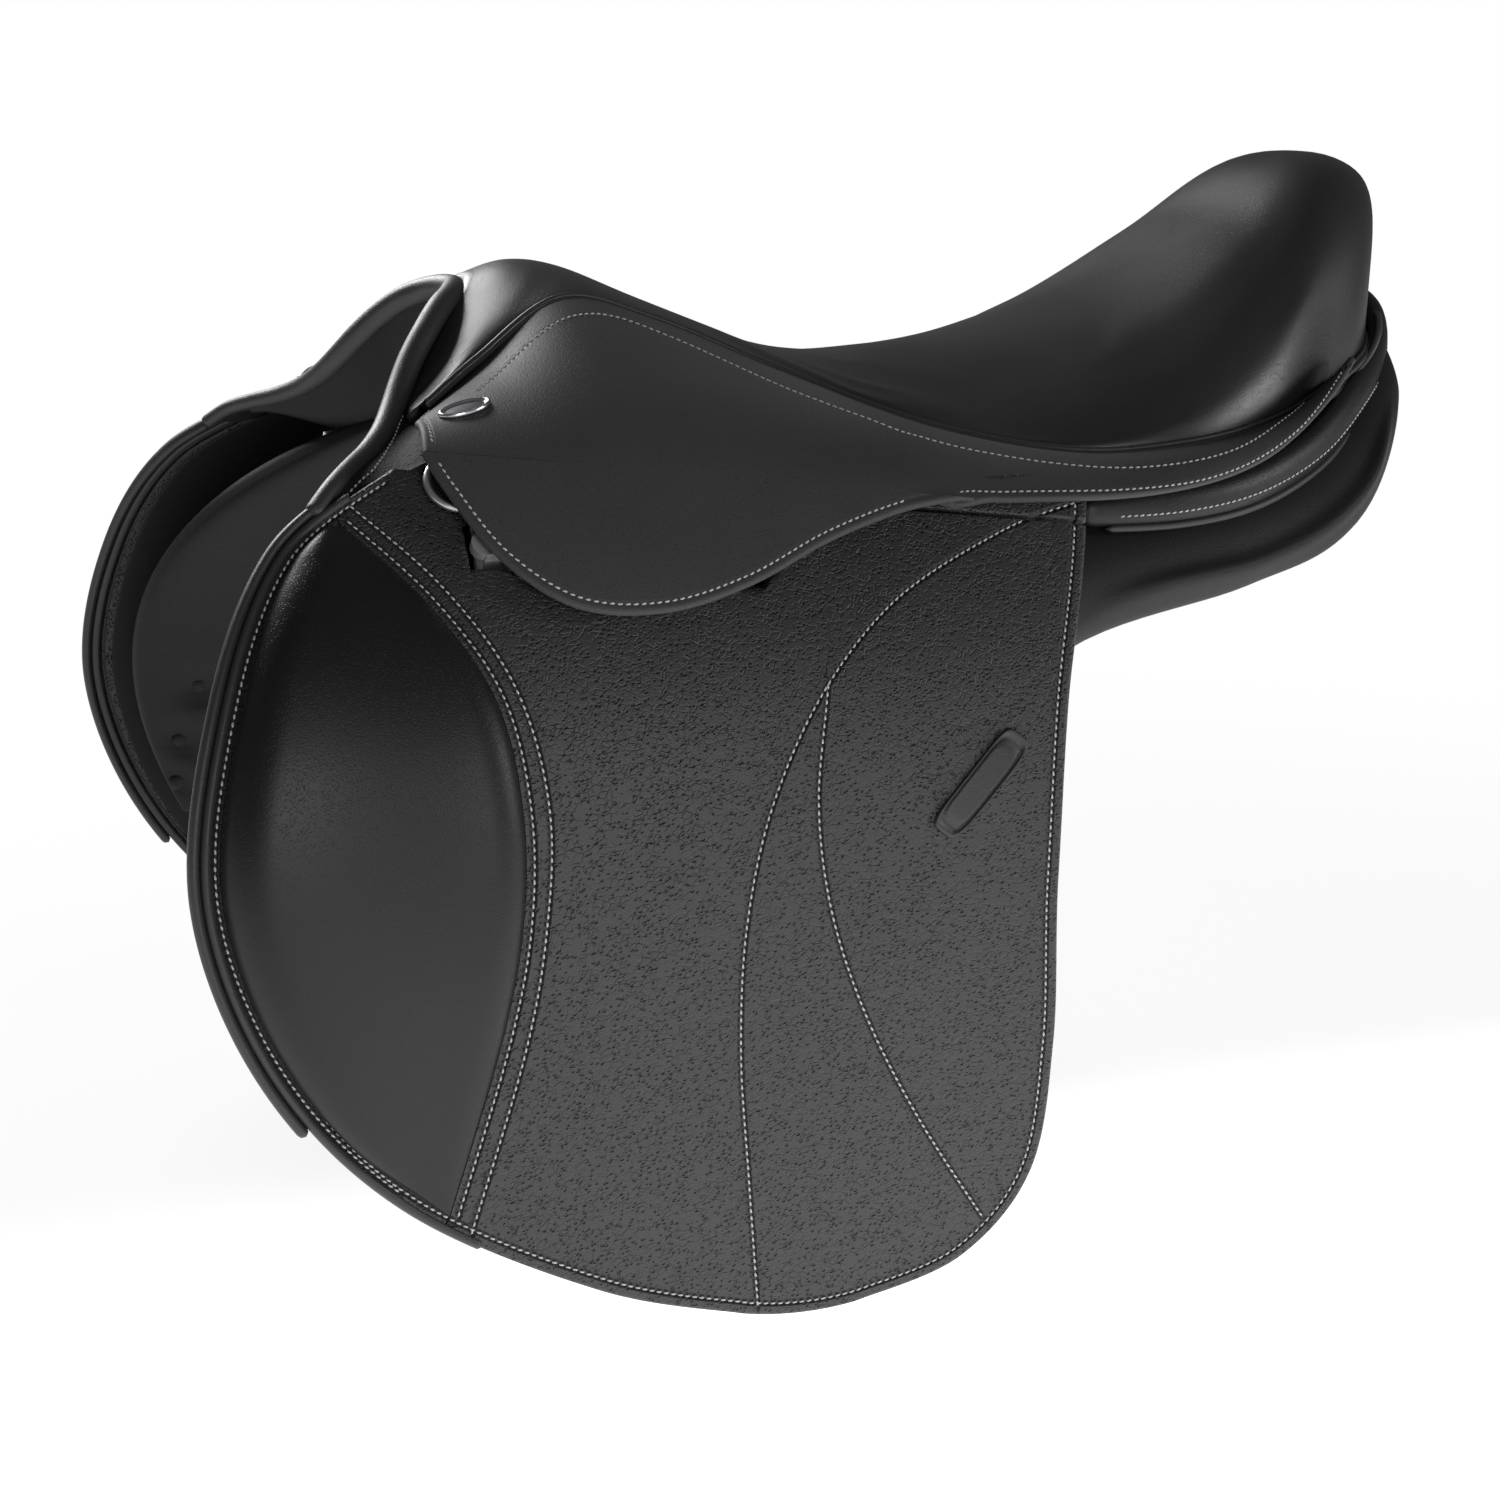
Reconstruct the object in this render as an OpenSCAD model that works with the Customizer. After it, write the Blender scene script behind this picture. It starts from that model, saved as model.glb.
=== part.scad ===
// Jumping saddle for a horse: tree, padded seat, skirts, flaps, panels and girth straps.
// Forward is -X, the near (left) side is -Y, and Z = 0 is the level where the panels bear.

/* [Seat] */
// Front edge of the seat, ahead of its deepest point
pommel_reach = 178; // [165:1:195]
// Height of the pommel
pommel_h = 162; // [150:1:175]
// Height of the deepest point of the seat
seat_h = 119; // [112:1:128]
// Back of the cantle, behind the deepest point
cantle_reach = 257; // [240:1:275]
// Height of the cantle
cantle_h = 203.5; // [190:0.5:215]
// Half the width of the seat at its waist
waist_half = 40; // [34:1:48]
// Half the width of the seat where it is widest
seat_half = 127; // [115:1:135]
// Height of the lowest point of the seat seam
seam_h = 86; // [80:1:92]
// Padding of the seat, cover included
seat_pad = 18; // [14:1:22]
// Leather of the seat cover
cover_t = 3; // [2:0.5:4]

/* [Side of the saddle] */
// Half the spread of the two flaps at their lower ends
half_spread = 212; // [200:1:225]
// Slope of the side under the seat
side_slope = 1.15; // [1.05:0.05:1.25]
// Height where the slope is halfway to upright
side_turn_h = 29; // [24:1:34]
// Length over which the side turns upright
side_turn = 35; // [30:1:40]

/* [Flaps] */
// Forward reach of the flap
flap_reach = 329; // [310:1:345]
// Depth of the flap below the bearing level
flap_drop = 249; // [230:1:270]
// Rear end of the fold line, behind the deepest point of the seat
flap_tail = 42; // [30:1:55]
// Thickness of the flap leather
flap_t = 4; // [3:0.5:5]
// Radius of the covered roll along the front edge
roll_r = 5.5; // [4.5:0.5:6.5]
// Crown of the knee pad over the flap
knee_crown = 13; // [8:1:18]
// Height of the fold line at its front end
fold_front_h = 92; // [86:1:96]
// Height of the fold line at its rear end
fold_rear_h = 60; // [56:0.5:63]

/* [Skirts] */
// Thickness of the skirt leather
skirt_t = 3.5; // [2.5:0.5:4.5]
// Room between flap and skirt
skirt_gap = 7; // [6.5:0.5:9]
// Lowest point of the skirt's front lobe
lobe_h = 34; // [28:1:40]
// How far the skirt's tail flares out from the seat seam
tail_flare = 26; // [18:1:32]

/* [Stirrup bars and dee rings] */
// Length of the stirrup bar
bar_len = 84; // [74:1:90]
// Width of the stirrup bar
bar_w = 11; // [9:0.5:13]
// Thickness of the stirrup bar
bar_t = 5; // [4:0.5:6]
// Room behind the stirrup bar for the leather
bar_throat = 9; // [7:0.5:10]
// Back plate of the stirrup bar
plate_t = 3.5; // [2.5:0.5:4]
// Radius of the catch pin and of the bar rivets
pin_r = 2; // [1.5:0.25:2.5]
// Length of the catch lever
catch_len = 18; // [14:1:20]
// Radius of the dee ring
dee_r = 12; // [11:0.5:12.5]
// Radius of the dee ring's wire
dee_wire_r = 1.75; // [1.5:0.25:2]

/* [Girth straps and sweat flaps] */
// Width of a girth strap
strap_w = 25; // [22:1:28]
// Thickness of a girth strap
strap_t = 4; // [3:0.5:4.5]
// Lower end of the girth straps, below the bearing level
strap_drop = 150; // [130:5:175]
// Spacing of the two girth straps
strap_pitch = 56; // [52:1:60]
// Radius of a buckle hole
hole_r = 2.5; // [2:0.25:3]
// Spacing of the buckle holes
hole_pitch = 25; // [22:1:26]
// Thickness of the sweat flap
sweat_t = 3; // [2:0.5:4]

/* [Tree and panels] */
// Thickness of the laminated tree
tree_t = 9; // [7:1:11]
// Thickness of the steel head plate
head_t = 4; // [3:0.5:5]
// Half the width of the channel between the panels
channel_half = 39; // [34:1:44]
// Half the thickness of the panel under the seat
panel_half = 23; // [19:1:25]
// Half the thickness of the panel's front pad
front_pad_half = 14; // [11:1:16]
// Height of the rear facing band
facing_h = 21; // [16:1:24]

/* [Hidden] */
$fn = 32;

// Clearances: pieces that lie together, curved layers under the seat, pins, and straps under the flap
lie_gap = 0.35;
layer_gap = 0.7;
pin_gap = 0.08;
strap_gap = 5;
web_t = 1.2;
edge_t = 3;
welt_r = 1.8;
seat_web_t = 2;
lining_t = 2;
// Extra room where straight facets meet a curved layer: webs, head arch, lining
web_room = 0.5;
arch_room = 3.5;
lining_room = 2.1;

// Layers of the side, outward from the middle of the flap
flap_out = flap_t / 2;
flap_in = -flap_t / 2;
skirt_in = flap_out + skirt_gap;
skirt_mid = skirt_in + skirt_t / 2;
skirt_out = skirt_in + skirt_t;
strap_out = flap_in - strap_gap;
strap_in = strap_out - strap_t;
web_out = strap_in - lie_gap;
web_in = web_out - web_t;
sweat_out = web_in - lie_gap;
sweat_in = sweat_out - sweat_t;
panel_out = sweat_in - lie_gap;
bar_out = skirt_in - 2;
plate_out = bar_out - bar_t - bar_throat;
plate_in = plate_out - plate_t;
head_out = plate_in - lie_gap;

// Depths under the seat's surface
web_d = seat_pad + layer_gap + web_room;
tree_d = web_d + seat_web_t + layer_gap;
tree_low_d = tree_d + tree_t;
head_d = tree_low_d + layer_gap + arch_room;
lining_d = head_d + head_t + layer_gap + lining_room;

leather = [0.09, 0.09, 0.10];
soft_leather = [0.13, 0.13, 0.14];
lining_leather = [0.06, 0.06, 0.07];
steel = [0.72, 0.73, 0.75];
wood = [0.72, 0.55, 0.36];
webbing = [0.80, 0.78, 0.70];
foam = [0.85, 0.83, 0.76];

// Numbers, curves and frames
function mix(a, b, t) = a + (b - a) * t;
function clamp01(t) = max(0, min(1, t));
function smooth(a, b, x) = let (t = clamp01((x - a) / (b - a))) t * t * (3 - 2 * t);
function unit(v) = v / norm(v);
function steps(n) = [for (i = [0:n]) i / n];
// Steps that crowd towards both ends
function end_steps(n) = [for (i = [0:n]) (1 - cos(180 * i / n)) / 2];
function flip(p) = [p[0], -p[1], p[2]];
// Smooth curve through a list of points, t from 0 to 1
function curve(p, t) =
    let (n = len(p) - 1, s = clamp01(t) * n, i = min(floor(s), n - 1), f = s - i,
        a = p[max(i - 1, 0)], b = p[i], c = p[i + 1], d = p[min(i + 2, n)])
    b + f * ((c - a) / 2 + f * ((2 * a - 5 * b + 4 * c - d) / 2 + f * (3 * b - a - 3 * c + d) / 2));

// Side of the saddle: half width and slope at height z, and the point n outward of the left flap's middle
function side_y(z) = half_spread - side_slope * side_turn * ln(1 + exp((z - side_turn_h) / side_turn));
function side_g(z) = side_slope / (1 + exp((side_turn_h - z) / side_turn));
function side_pt(x, z, n) = let (g = side_g(z), q = sqrt(1 + g * g)) [x, -(side_y(z) + n / q), z + n * g / q];

// Seat: left seam, centre line and the surface d below the top, u from front to back, v from left to right
seat_edge_pts = [
    [-pommel_reach - 44, -2.4 * waist_half, pommel_h - 50],
    [-pommel_reach - 14, -1.8 * waist_half, pommel_h - 33],
    [-pommel_reach + 28, -1.2 * waist_half, pommel_h - 12],
    [-pommel_reach + 71, -waist_half, pommel_h - 22],
    [-0.31 * pommel_reach, mix(-waist_half, -seat_half, 0.15), mix(seam_h, pommel_h, 0.42)],
    [0, mix(-waist_half, -seat_half, 0.57), seam_h + 10],
    [0.2125 * cantle_reach, 7 - seat_half, seam_h],
    [0.4145 * cantle_reach, -seat_half, seam_h + 2],
    [0.604 * cantle_reach, 12 - seat_half, seam_h + 9],
    [0.75 * cantle_reach, 32 - seat_half, seam_h + 20],
    [0.854 * cantle_reach, 49 - seat_half, seam_h + 31],
    [0.92 * cantle_reach, 73 - seat_half, seam_h + 38],
    [0.955 * cantle_reach, 99 - seat_half, seam_h + 42]
];
seat_mid_pts = [
    [-pommel_reach, 0, pommel_h - 5],
    [-pommel_reach + 18, 0, pommel_h],
    [-pommel_reach + 41, 0, pommel_h - 3.5],
    [-0.56 * pommel_reach, 0, mix(seat_h, pommel_h, 0.556)],
    [-0.24 * pommel_reach, 0, mix(seat_h, pommel_h, 0.093)],
    [7, 0, seat_h],
    [0.25 * cantle_reach, 0, mix(seat_h, cantle_h, 0.065)],
    [0.4685 * cantle_reach, 0, mix(seat_h, cantle_h, 0.254)],
    [0.675 * cantle_reach, 0, mix(seat_h, cantle_h, 0.638)],
    [0.833 * cantle_reach, 0, cantle_h],
    [0.965 * cantle_reach, 0, mix(seat_h, cantle_h, 0.938)],
    [cantle_reach, 0, mix(seat_h, cantle_h, 0.641)],
    [0.965 * cantle_reach, 0, mix(seat_h, cantle_h, 0.2355)]
];
function seat_edge(u) = curve(seat_edge_pts, u);
function seat_mid(u, d) =
    let (e = 0.01, t = unit(curve(seat_mid_pts, u + e) - curve(seat_mid_pts, u - e)))
    curve(seat_mid_pts, u) - d * [-t[2], 0, t[0]];
function edge_drop(d) = d < seat_pad ? edge_t * d / seat_pad : edge_t + d - seat_pad;
function dome(u, v) =
    let (k = smooth(0.42, 0.66, u))
    pow(max(0, 1 - pow(abs(v), mix(2, 2.8, k))), 1 / mix(1.1, 1.9, k));
function seat_pt(u, v, d) =
    let (e = seat_edge(u), m = seat_mid(u, d), z = e[2] - edge_drop(d))
    [mix(m[0], e[0], v * v), -v * e[1], mix(z, m[2], dome(u, v))];
// Share of the seam's length at which it lies at x
function seam_at(x, lo = 0, hi = 1, n = 18) =
    let (m = (lo + hi) / 2)
    n == 0 ? m : seat_edge(m)[0] < x ? seam_at(x, m, hi, n - 1) : seam_at(x, lo, m, n - 1);

// Fold line of flap and skirt, as places x, z on the side
fold_front_x = -pommel_reach - 64;
function fold_z(x) = mix(fold_front_h, fold_rear_h, (x - fold_front_x) / (flap_tail - fold_front_x));

// Outlines on the side, as places x, z; ahead(k) is x at a share of the flap's reach beyond its fold line
function ahead(k) = mix(fold_front_x, -flap_reach, k);
roll_line = [
    [fold_front_x, fold_front_h - 1],
    [ahead(0.54), 64],
    [ahead(0.862), 14],
    [ahead(1), -54],
    [ahead(0.747), -124],
    [ahead(0.195), -182]
];
flap_front = concat(roll_line, [[flap_tail - 225, 22 - flap_drop], [flap_tail - 166, 3 - flap_drop]]);
flap_rear = [
    [flap_tail, fold_rear_h - 1.5],
    [flap_tail - 22, -3],
    [flap_tail - 30, -75],
    [flap_tail - 31, -145],
    [flap_tail - 40, 48 - flap_drop],
    [flap_tail - 71, 14 - flap_drop],
    [flap_tail - 117, 1 - flap_drop]
];
roll_end = 0.62;
// Place d behind the roll's middle line, across the side
function behind_roll(t, d) =
    let (a = curve(flap_front, t - 0.004), b = curve(flap_front, t + 0.004), q = sqrt(1 + pow(side_g(a[1]), 2)),
        w = unit([b[0] - a[0], (b[1] - a[1]) * q]))
    curve(flap_front, t) + d * [-w[1], w[0] / q];
function flap_place(s, t) =
    let (beside = (roll_r + lie_gap) * (1 - smooth(roll_end, roll_end + 0.08, t)), f = behind_roll(t, beside),
        r = curve(flap_rear, t))
    mix(f, r, s) - [0, 9 * s * (1 - s) * t * t * t];

// Solids
// Closed solid between two grids of points with the same rows and columns
module slab(top, low) {
    rows = len(top);
    cols = len(top[0]);
    half = rows * cols;
    i0 = floor(rows / 2);
    j0 = floor(cols / 2);
    outward = cross(top[i0][j0] - top[i0 - 1][j0], top[i0][j0] - top[i0][j0 - 1]) * (top[i0][j0] - low[i0][j0]);
    rim = concat(
        [for (j = [0:cols - 2]) j],
        [for (i = [0:rows - 2]) i * cols + cols - 1],
        [for (j = [cols - 1:-1:1]) (rows - 1) * cols + j],
        [for (i = [rows - 1:-1:1]) i * cols]
    );
    n = len(rim);
    faces = concat(
        [for (i = [0:rows - 2], j = [0:cols - 2])
            let (a = i * cols + j, b = a + 1, c = b + cols, d = a + cols)
            each [[a, b, c], [a, c, d], [half + a, half + c, half + b], [half + a, half + d, half + c]]],
        [for (k = [0:n - 1])
            let (a = rim[k], b = rim[(k + 1) % n])
            each [[a, half + b, b], [a, half + a, half + b]]]
    );
    polyhedron(
        points = concat([for (row = top) each row], [for (row = low) each row]),
        faces = outward > 0 ? faces : [for (f = faces) [f[2], f[1], f[0]]],
        convexity = 6
    );
}
// Sheet on the left side between two depths; places is a grid of x, z
module side_sheet(places, n_in, n_out) {
    slab(
        [for (row = places) [for (p = row) side_pt(p[0], p[1], n_out)]],
        [for (row = places) [for (p = row) side_pt(p[0], p[1], n_in)]]
    );
}
// Flat strip along a middle line, with half its thickness given as vectors, and lying across X
module strip(mids, outs, half) {
    across = [half, 0, 0];
    last = len(mids) - 1;
    slab(
        [for (i = [0:last]) [mids[i] + outs[i] - across, mids[i] + outs[i] + across]],
        [for (i = [0:last]) [mids[i] - outs[i] - across, mids[i] - outs[i] + across]]
    );
}
// Round cord through a list of points
module cord(path, r, sides) {
    n = len(path);
    tangents = [for (i = [0:n - 1]) unit(path[min(i + 1, n - 1)] - path[max(i - 1, 0)])];
    rings = [for (i = [0:n - 1])
        let (t = tangents[i], a = unit(cross(t, [0.31, 0.17, 0.93])), b = cross(t, a))
        [for (k = [0:sides - 1]) path[i] + r * (cos(360 * k / sides) * a + sin(360 * k / sides) * b)]];
    faces = concat(
        [for (i = [0:n - 2], k = [0:sides - 1])
            let (a = i * sides + k, b = i * sides + (k + 1) % sides)
            each [[a, b, b + sides], [a, b + sides, a + sides]]],
        [for (k = [1:sides - 2]) [0, k + 1, k]],
        [for (k = [1:sides - 2]) let (o = (n - 1) * sides) [o, o + k, o + k + 1]]
    );
    polyhedron(
        points = [for (ring = rings) each ring],
        faces = [for (f = faces) [f[2], f[1], f[0]]],
        convexity = 6
    );
}
// Carries a shape to the left side: its X runs back, its Y up the slope and its Z outward
module on_side(x, z) {
    g = side_g(z);
    q = sqrt(1 + g * g);
    p = side_pt(x, z, 0);
    multmatrix([[1, 0, 0, p[0]], [0, g / q, -1 / q, p[1]], [0, 1 / q, g / q, p[2]], [0, 0, 0, 1]]) children();
}
module both_sides() {
    children();
    mirror([0, 1, 0]) children();
}
module box(x0, x1, y0, y1, z0, z1) {
    translate([x0, y0, z0]) cube([x1 - x0, y1 - y0, z1 - z0]);
}

// Tree
module seat_layer(us, vs, d_top, d_low) {
    slab(
        [for (u = us) [for (v = vs) seat_pt(u, v, d_top)]],
        [for (u = us) [for (v = vs) seat_pt(u, v, d_low)]]
    );
}
tree_rows = 4;
rail_n = 12;
arch_n = 8;
tree_sides = 2 * (rail_n + arch_n);
// Place on the frame: right rail, cantle, left rail, head; w from inside out
function tree_place(k, w) =
    let (head = mix(0.21, 0.06, w), cantle = mix(0.75, 0.9, w), rail = mix(0.4, 0.78, w),
        h = k % (rail_n + arch_n), side = k < rail_n + arch_n ? 1 : -1,
        on_rail = h < rail_n, along = h / rail_n, over = (h - rail_n) / arch_n)
    side > 0
        ? (on_rail ? [mix(head, cantle, along), rail] : [cantle, mix(rail, -rail, over)])
        : (on_rail ? [mix(cantle, head, along), -rail] : [head, mix(-rail, rail, over)]);
// Ring-shaped laminated frame under the seat, open in the middle
module tree_frame() color(wood) {
    ring = 2 * tree_rows;
    corner = [for (k = [0:tree_sides - 1], i = [0:ring - 1])
        let (w = (i < tree_rows ? i : ring - 1 - i) / (tree_rows - 1), p = tree_place(k, w))
        seat_pt(p[0], p[1], i < tree_rows ? tree_d : tree_low_d)];
    polyhedron(
        points = corner,
        faces = [for (k = [0:tree_sides - 1], i = [0:ring - 1])
            let (next = ring * ((k + 1) % tree_sides), j = (i + 1) % ring, a = ring * k + i, b = ring * k + j)
            each [[a, b, next + j], [a, next + j, next + i]]],
        convexity = 8
    );
}

// Steel arch under the head of the tree, with a point down each side
head_u = 0.1;
head_half_w = 15;
head_n = 42;
head_low_z = 54;
bar_x = -pommel_reach + 8;
bar_z = 62;
head_x = bar_x - 28;
module head_plate() color(steel) difference() {
    d = head_d + head_t / 2;
    side = [for (t = steps(3)) side_pt(head_x + 3 * t, mix(head_low_z, 82, t), head_out - head_t / 2)];
    left = concat(side, [for (v = [-0.84, -0.56, -0.28]) seat_pt(head_u, v, d)]);
    path = concat(left, [seat_pt(head_u, 0, d)], [for (i = [6:-1:0]) flip(left[i])]);
    mids = [for (t = steps(head_n)) curve(path, t)];
    outs = [for (i = [0:head_n])
        unit(cross([1, 0, 0], mids[min(i + 1, head_n)] - mids[max(i - 1, 0)])) * head_t / 2];
    strip(mids, outs, head_half_w);
    both_sides() rivet_places() translate([0, 0, head_out - head_t - 1]) cylinder(r = pin_r, h = head_t + 2);
}

// Two lengthwise webs between head and cantle
module seat_webs() color(webbing) both_sides()
    seat_layer([for (t = steps(26)) mix(0.1, 0.83, t)], [-0.3, -0.1], web_d, web_d + seat_web_t);

// Lining of the channel under the tree
module channel_lining() color(lining_leather)
    seat_layer([for (t = steps(18)) mix(0.02, 0.86, t)], [for (t = steps(8)) mix(-0.62, 0.62, t)], lining_d,
        lining_d + lining_t);

// Seat
seat_rows = 24;
module seat_cover() color(soft_leather)
    seat_layer(steps(seat_rows), [for (t = end_steps(14)) 2 * t - 1], 0, cover_t);
module seat_foam() color(foam)
    seat_layer(steps(seat_rows), [for (i = [1:13]) -cos(180 * i / 14)], cover_t + layer_gap, seat_pad);
// Piping along the seat seam, from the pommel round the cantle and back
module seat_welt() color(leather) {
    left = [for (i = [1:seat_rows])
        let (u = i / seat_rows, run = seat_edge(u + 0.01) - seat_edge(u - 0.01))
        seat_edge(u) + (welt_r + 0.6) * unit([run[1], -run[0], 0]) - [0, 0, 1]];
    rear = [for (t = steps(8)) seat_pt(1, mix(-0.8, 0.8, t), edge_t) + [welt_r + 1.7, 0, -welt_r - 1.3]];
    cord(concat(left, rear, [for (i = [seat_rows - 1:-1:0]) flip(left[i])]), welt_r, 6);
}
// Covered roll over the pommel, down to the fold line of each flap
module pommel_roll() color(leather) {
    out = [-roll_r - 1.6, 0, -roll_r - 1];
    over = [for (t = steps(12)) seat_pt(0, mix(-0.98, 0, t), 0) + out];
    start = side_pt(fold_front_x, fold_z(fold_front_x) + roll_r / 2, 0);
    left = concat([start, mix(start, over[0], 0.5) + [-1, -2, 1]], over);
    n = len(left);
    cord(concat(left, [for (i = [n - 2:-1:0]) flip(left[i])]), roll_r, 10);
}

// Skirts: a fixed band sewn to the seat, and a front lobe that lifts
lobe_front_x = fold_front_x + 14;
lobe_rear_x = -25;
slit = 2.6;
band_end = 0.8;
band_bulge = 5;
tail_h = 66.5;
function tail_z(x) = tail_h + 12 * pow(max(0, x - 40) / 96, 2.9);
tail_room = 1.6;
function band_top(u) = seat_edge(u) - [0, 2 * welt_r + 1.6 + tail_room * smooth(0.64, 0.74, u), 3.7];
function band_low(x, u) =
    let (z = tail_z(x), p = side_pt(x, z, skirt_mid))
    [x, mix(p[1], seat_edge(u)[1] - tail_flare, smooth(flap_tail + 6, flap_tail + 110, x)), z];
function band_out(a, b) = unit(cross(b - a, [1, 0, 0]));
function band_pt(x, w, n) =
    let (u = seam_at(x), a = band_top(u),
        fixed = x > lobe_rear_x, b0 = fixed ? band_low(x, u) : side_pt(x, fold_z(x) + slit, skirt_mid),
        o = band_out(a, b0),
        b = fixed ? b0 + n * o : side_pt(x, fold_z(x) + slit, skirt_mid + n))
    mix(a + n * o, b, w) + 4 * w * (1 - w) * band_bulge * o;
band_xs = concat(
    [for (t = steps(14)) mix(lobe_front_x + 5, lobe_rear_x, t)],
    [for (t = steps(14)) mix(lobe_rear_x + slit, seat_edge(band_end)[0], t)]
);
module left_skirt_band() color(leather)
    slab(
        [for (x = band_xs) [for (w = steps(5)) band_pt(x, w, skirt_t / 2)]],
        [for (x = band_xs) [for (w = steps(5)) band_pt(x, w, -skirt_t / 2)]]
    );
module right_skirt_band() mirror([0, 1, 0]) left_skirt_band();

lobe_line = [
    [lobe_front_x, fold_z(lobe_front_x) - 3],
    [lobe_front_x + 11, fold_z(lobe_front_x) - 22],
    [lobe_front_x + 33, lobe_h + 12],
    [lobe_front_x + 78, lobe_h],
    [lobe_front_x + 134, lobe_h + 10],
    [mix(lobe_front_x + 134, lobe_rear_x, 0.62), mix(lobe_h + 10, fold_z(lobe_rear_x), 0.55)],
    [lobe_rear_x - slit, fold_z(lobe_rear_x) - 7]
];
module left_skirt() color(leather)
    side_sheet(
        [for (t = steps(18)) let (x = mix(lobe_front_x, lobe_rear_x - slit, t), low = curve(lobe_line, t))
            [for (s = steps(3)) mix([x, fold_z(x)], low, s)]],
        skirt_in, skirt_out
    );
module right_skirt() mirror([0, 1, 0]) left_skirt();

// Oval stud on each skirt
stud_x = fold_front_x + 34;
stud_w = 0.6;
stud_half = [11.5, 6.5];
stud_t = 2;
module skirt_studs() color(steel) both_sides() {
    p = band_pt(stud_x, stud_w, skirt_t / 2 + lie_gap);
    along = unit(band_pt(stud_x + 8, stud_w, 0) - band_pt(stud_x, stud_w, 0));
    out = unit(cross(along, band_pt(stud_x, stud_w - 0.1, 0) - band_pt(stud_x, stud_w + 0.1, 0)));
    up = cross(out, along);
    multmatrix([for (i = [0:2]) [along[i], up[i], out[i], p[i] + 0.4 * out[i]]])
        linear_extrude(stud_t)
            polygon([for (k = [0:23]) [stud_half[0] * cos(15 * k), stud_half[1] * sin(15 * k)]]);
}

// Flaps
notch_front_x = bar_x - bar_len / 2 - 6;
notch_rear_x = bar_x + bar_len / 2 + catch_len + 14;
notch_low_z = bar_z - 15;
module notch() {
    outline = [
        [notch_front_x + 14, fold_front_h + 20], [notch_front_x + 14, bar_z + 14], [notch_front_x, bar_z + 9],
        [notch_front_x, bar_z - 6.5], [notch_front_x + 11, bar_z - 6.5], [notch_front_x + 15, bar_z - 7.5],
        [notch_front_x + 22, notch_low_z + 2.5], [notch_front_x + 28, notch_low_z],
        [notch_rear_x - 6, notch_low_z - 3], [notch_rear_x, notch_low_z + 3], [notch_rear_x, fold_front_h + 20]
    ];
    rotate([90, 0, 0]) linear_extrude(half_spread) polygon(outline);
}
module left_flap() color(leather) difference() {
    side_sheet([for (t = steps(18)) [for (s = steps(10)) flap_place(s, t)]], flap_in, flap_out);
    notch();
}
module right_flap() mirror([0, 1, 0]) left_flap();

// Strip that carries the flap under the skirt band: it lies on the flap's top edge and on the band
head_strip_h = 4;
head_strip_room = 0.9;
head_strip_xs = concat(
    [for (t = steps(2)) mix(lobe_front_x + 19, notch_front_x + 13.5, t)],
    [for (t = steps(8)) mix(notch_front_x + 14, notch_rear_x, t)],
    [for (t = steps(5)) mix(notch_rear_x + 0.5, lobe_rear_x - 10, t)]
);
function flap_top_z(x) =
    let (a = flap_place(0, 0), b = flap_place(1, 0))
    mix(a[1], b[1], (x - a[0]) / (b[0] - a[0]));
function head_strip_z(x) =
    x < notch_front_x + 14 || x > notch_rear_x ? flap_top_z(x) + lie_gap : fold_z(x) + lie_gap;
module left_flap_head() color(leather)
    side_sheet(
        [for (x = head_strip_xs) [[x, head_strip_z(x)], [x, fold_z(x) + head_strip_h]]],
        flap_in, skirt_in - head_strip_room
    );
module right_flap_head() mirror([0, 1, 0]) left_flap_head();

module left_flap_roll() color(leather)
    cord(
        [for (t = steps(26)) let (p = curve(flap_front, mix(0.006, roll_end, t))) side_pt(p[0], p[1], 0)],
        roll_r, 10
    );
module right_flap_roll() mirror([0, 1, 0]) left_flap_roll();

// Padded knee pad on the flap, crowned and drawn in at its rim
knee_rear = [
    [ahead(0.172), 70], [ahead(-0.138), 40], [ahead(-0.345), 0], [ahead(-0.391), -40],
    [ahead(-0.299), -100], [ahead(-0.115), -155], [ahead(0.034), -190]
];
module left_knee_pad() color(soft_leather) {
    ts = steps(18);
    ss = end_steps(8);
    knee = [for (t = ts) [for (s = ss)
        mix(behind_roll(mix(0.1, 0.66, t), roll_r + 3), curve(knee_rear, t), s)]];
    crown = [for (t = ts) [for (s = ss)
        1 + knee_crown * pow(sin(180 * clamp01(t)), 0.45) * pow(max(0, sin(180 * s)), 0.6)
            * (1 - 0.25 * smooth(0.35, 0.9, s))]];
    low_n = flap_out + lie_gap;
    slab(
        [for (i = [0:18]) [for (j = [0:8]) side_pt(knee[i][j][0], knee[i][j][1], low_n + crown[i][j])]],
        [for (row = knee) [for (p = row) side_pt(p[0], p[1], low_n)]]
    );
}
module right_knee_pad() mirror([0, 1, 0]) left_knee_pad();

// Sweat flap, blocks, girth web and straps, between flap and panel
sweat_front = [
    [ahead(-0.057), 46], [ahead(0.471), 0], [ahead(0.77), -60], [ahead(0.483), -130],
    [ahead(-0.287), -188], [flap_tail - 171, 22 - flap_drop]
];
sweat_rear = [
    [flap_tail - 36, 46], [flap_tail - 44, -20], [flap_tail - 48, -90], [flap_tail - 50, -150],
    [flap_tail - 62, 54 - flap_drop], [flap_tail - 105, 24 - flap_drop]
];
module left_sweat_flap() color(lining_leather)
    side_sheet(
        [for (t = steps(14)) [for (s = steps(6)) mix(curve(sweat_front, t), curve(sweat_rear, t), s)]],
        sweat_in, sweat_out
    );
module right_sweat_flap() mirror([0, 1, 0]) left_sweat_flap();

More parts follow.
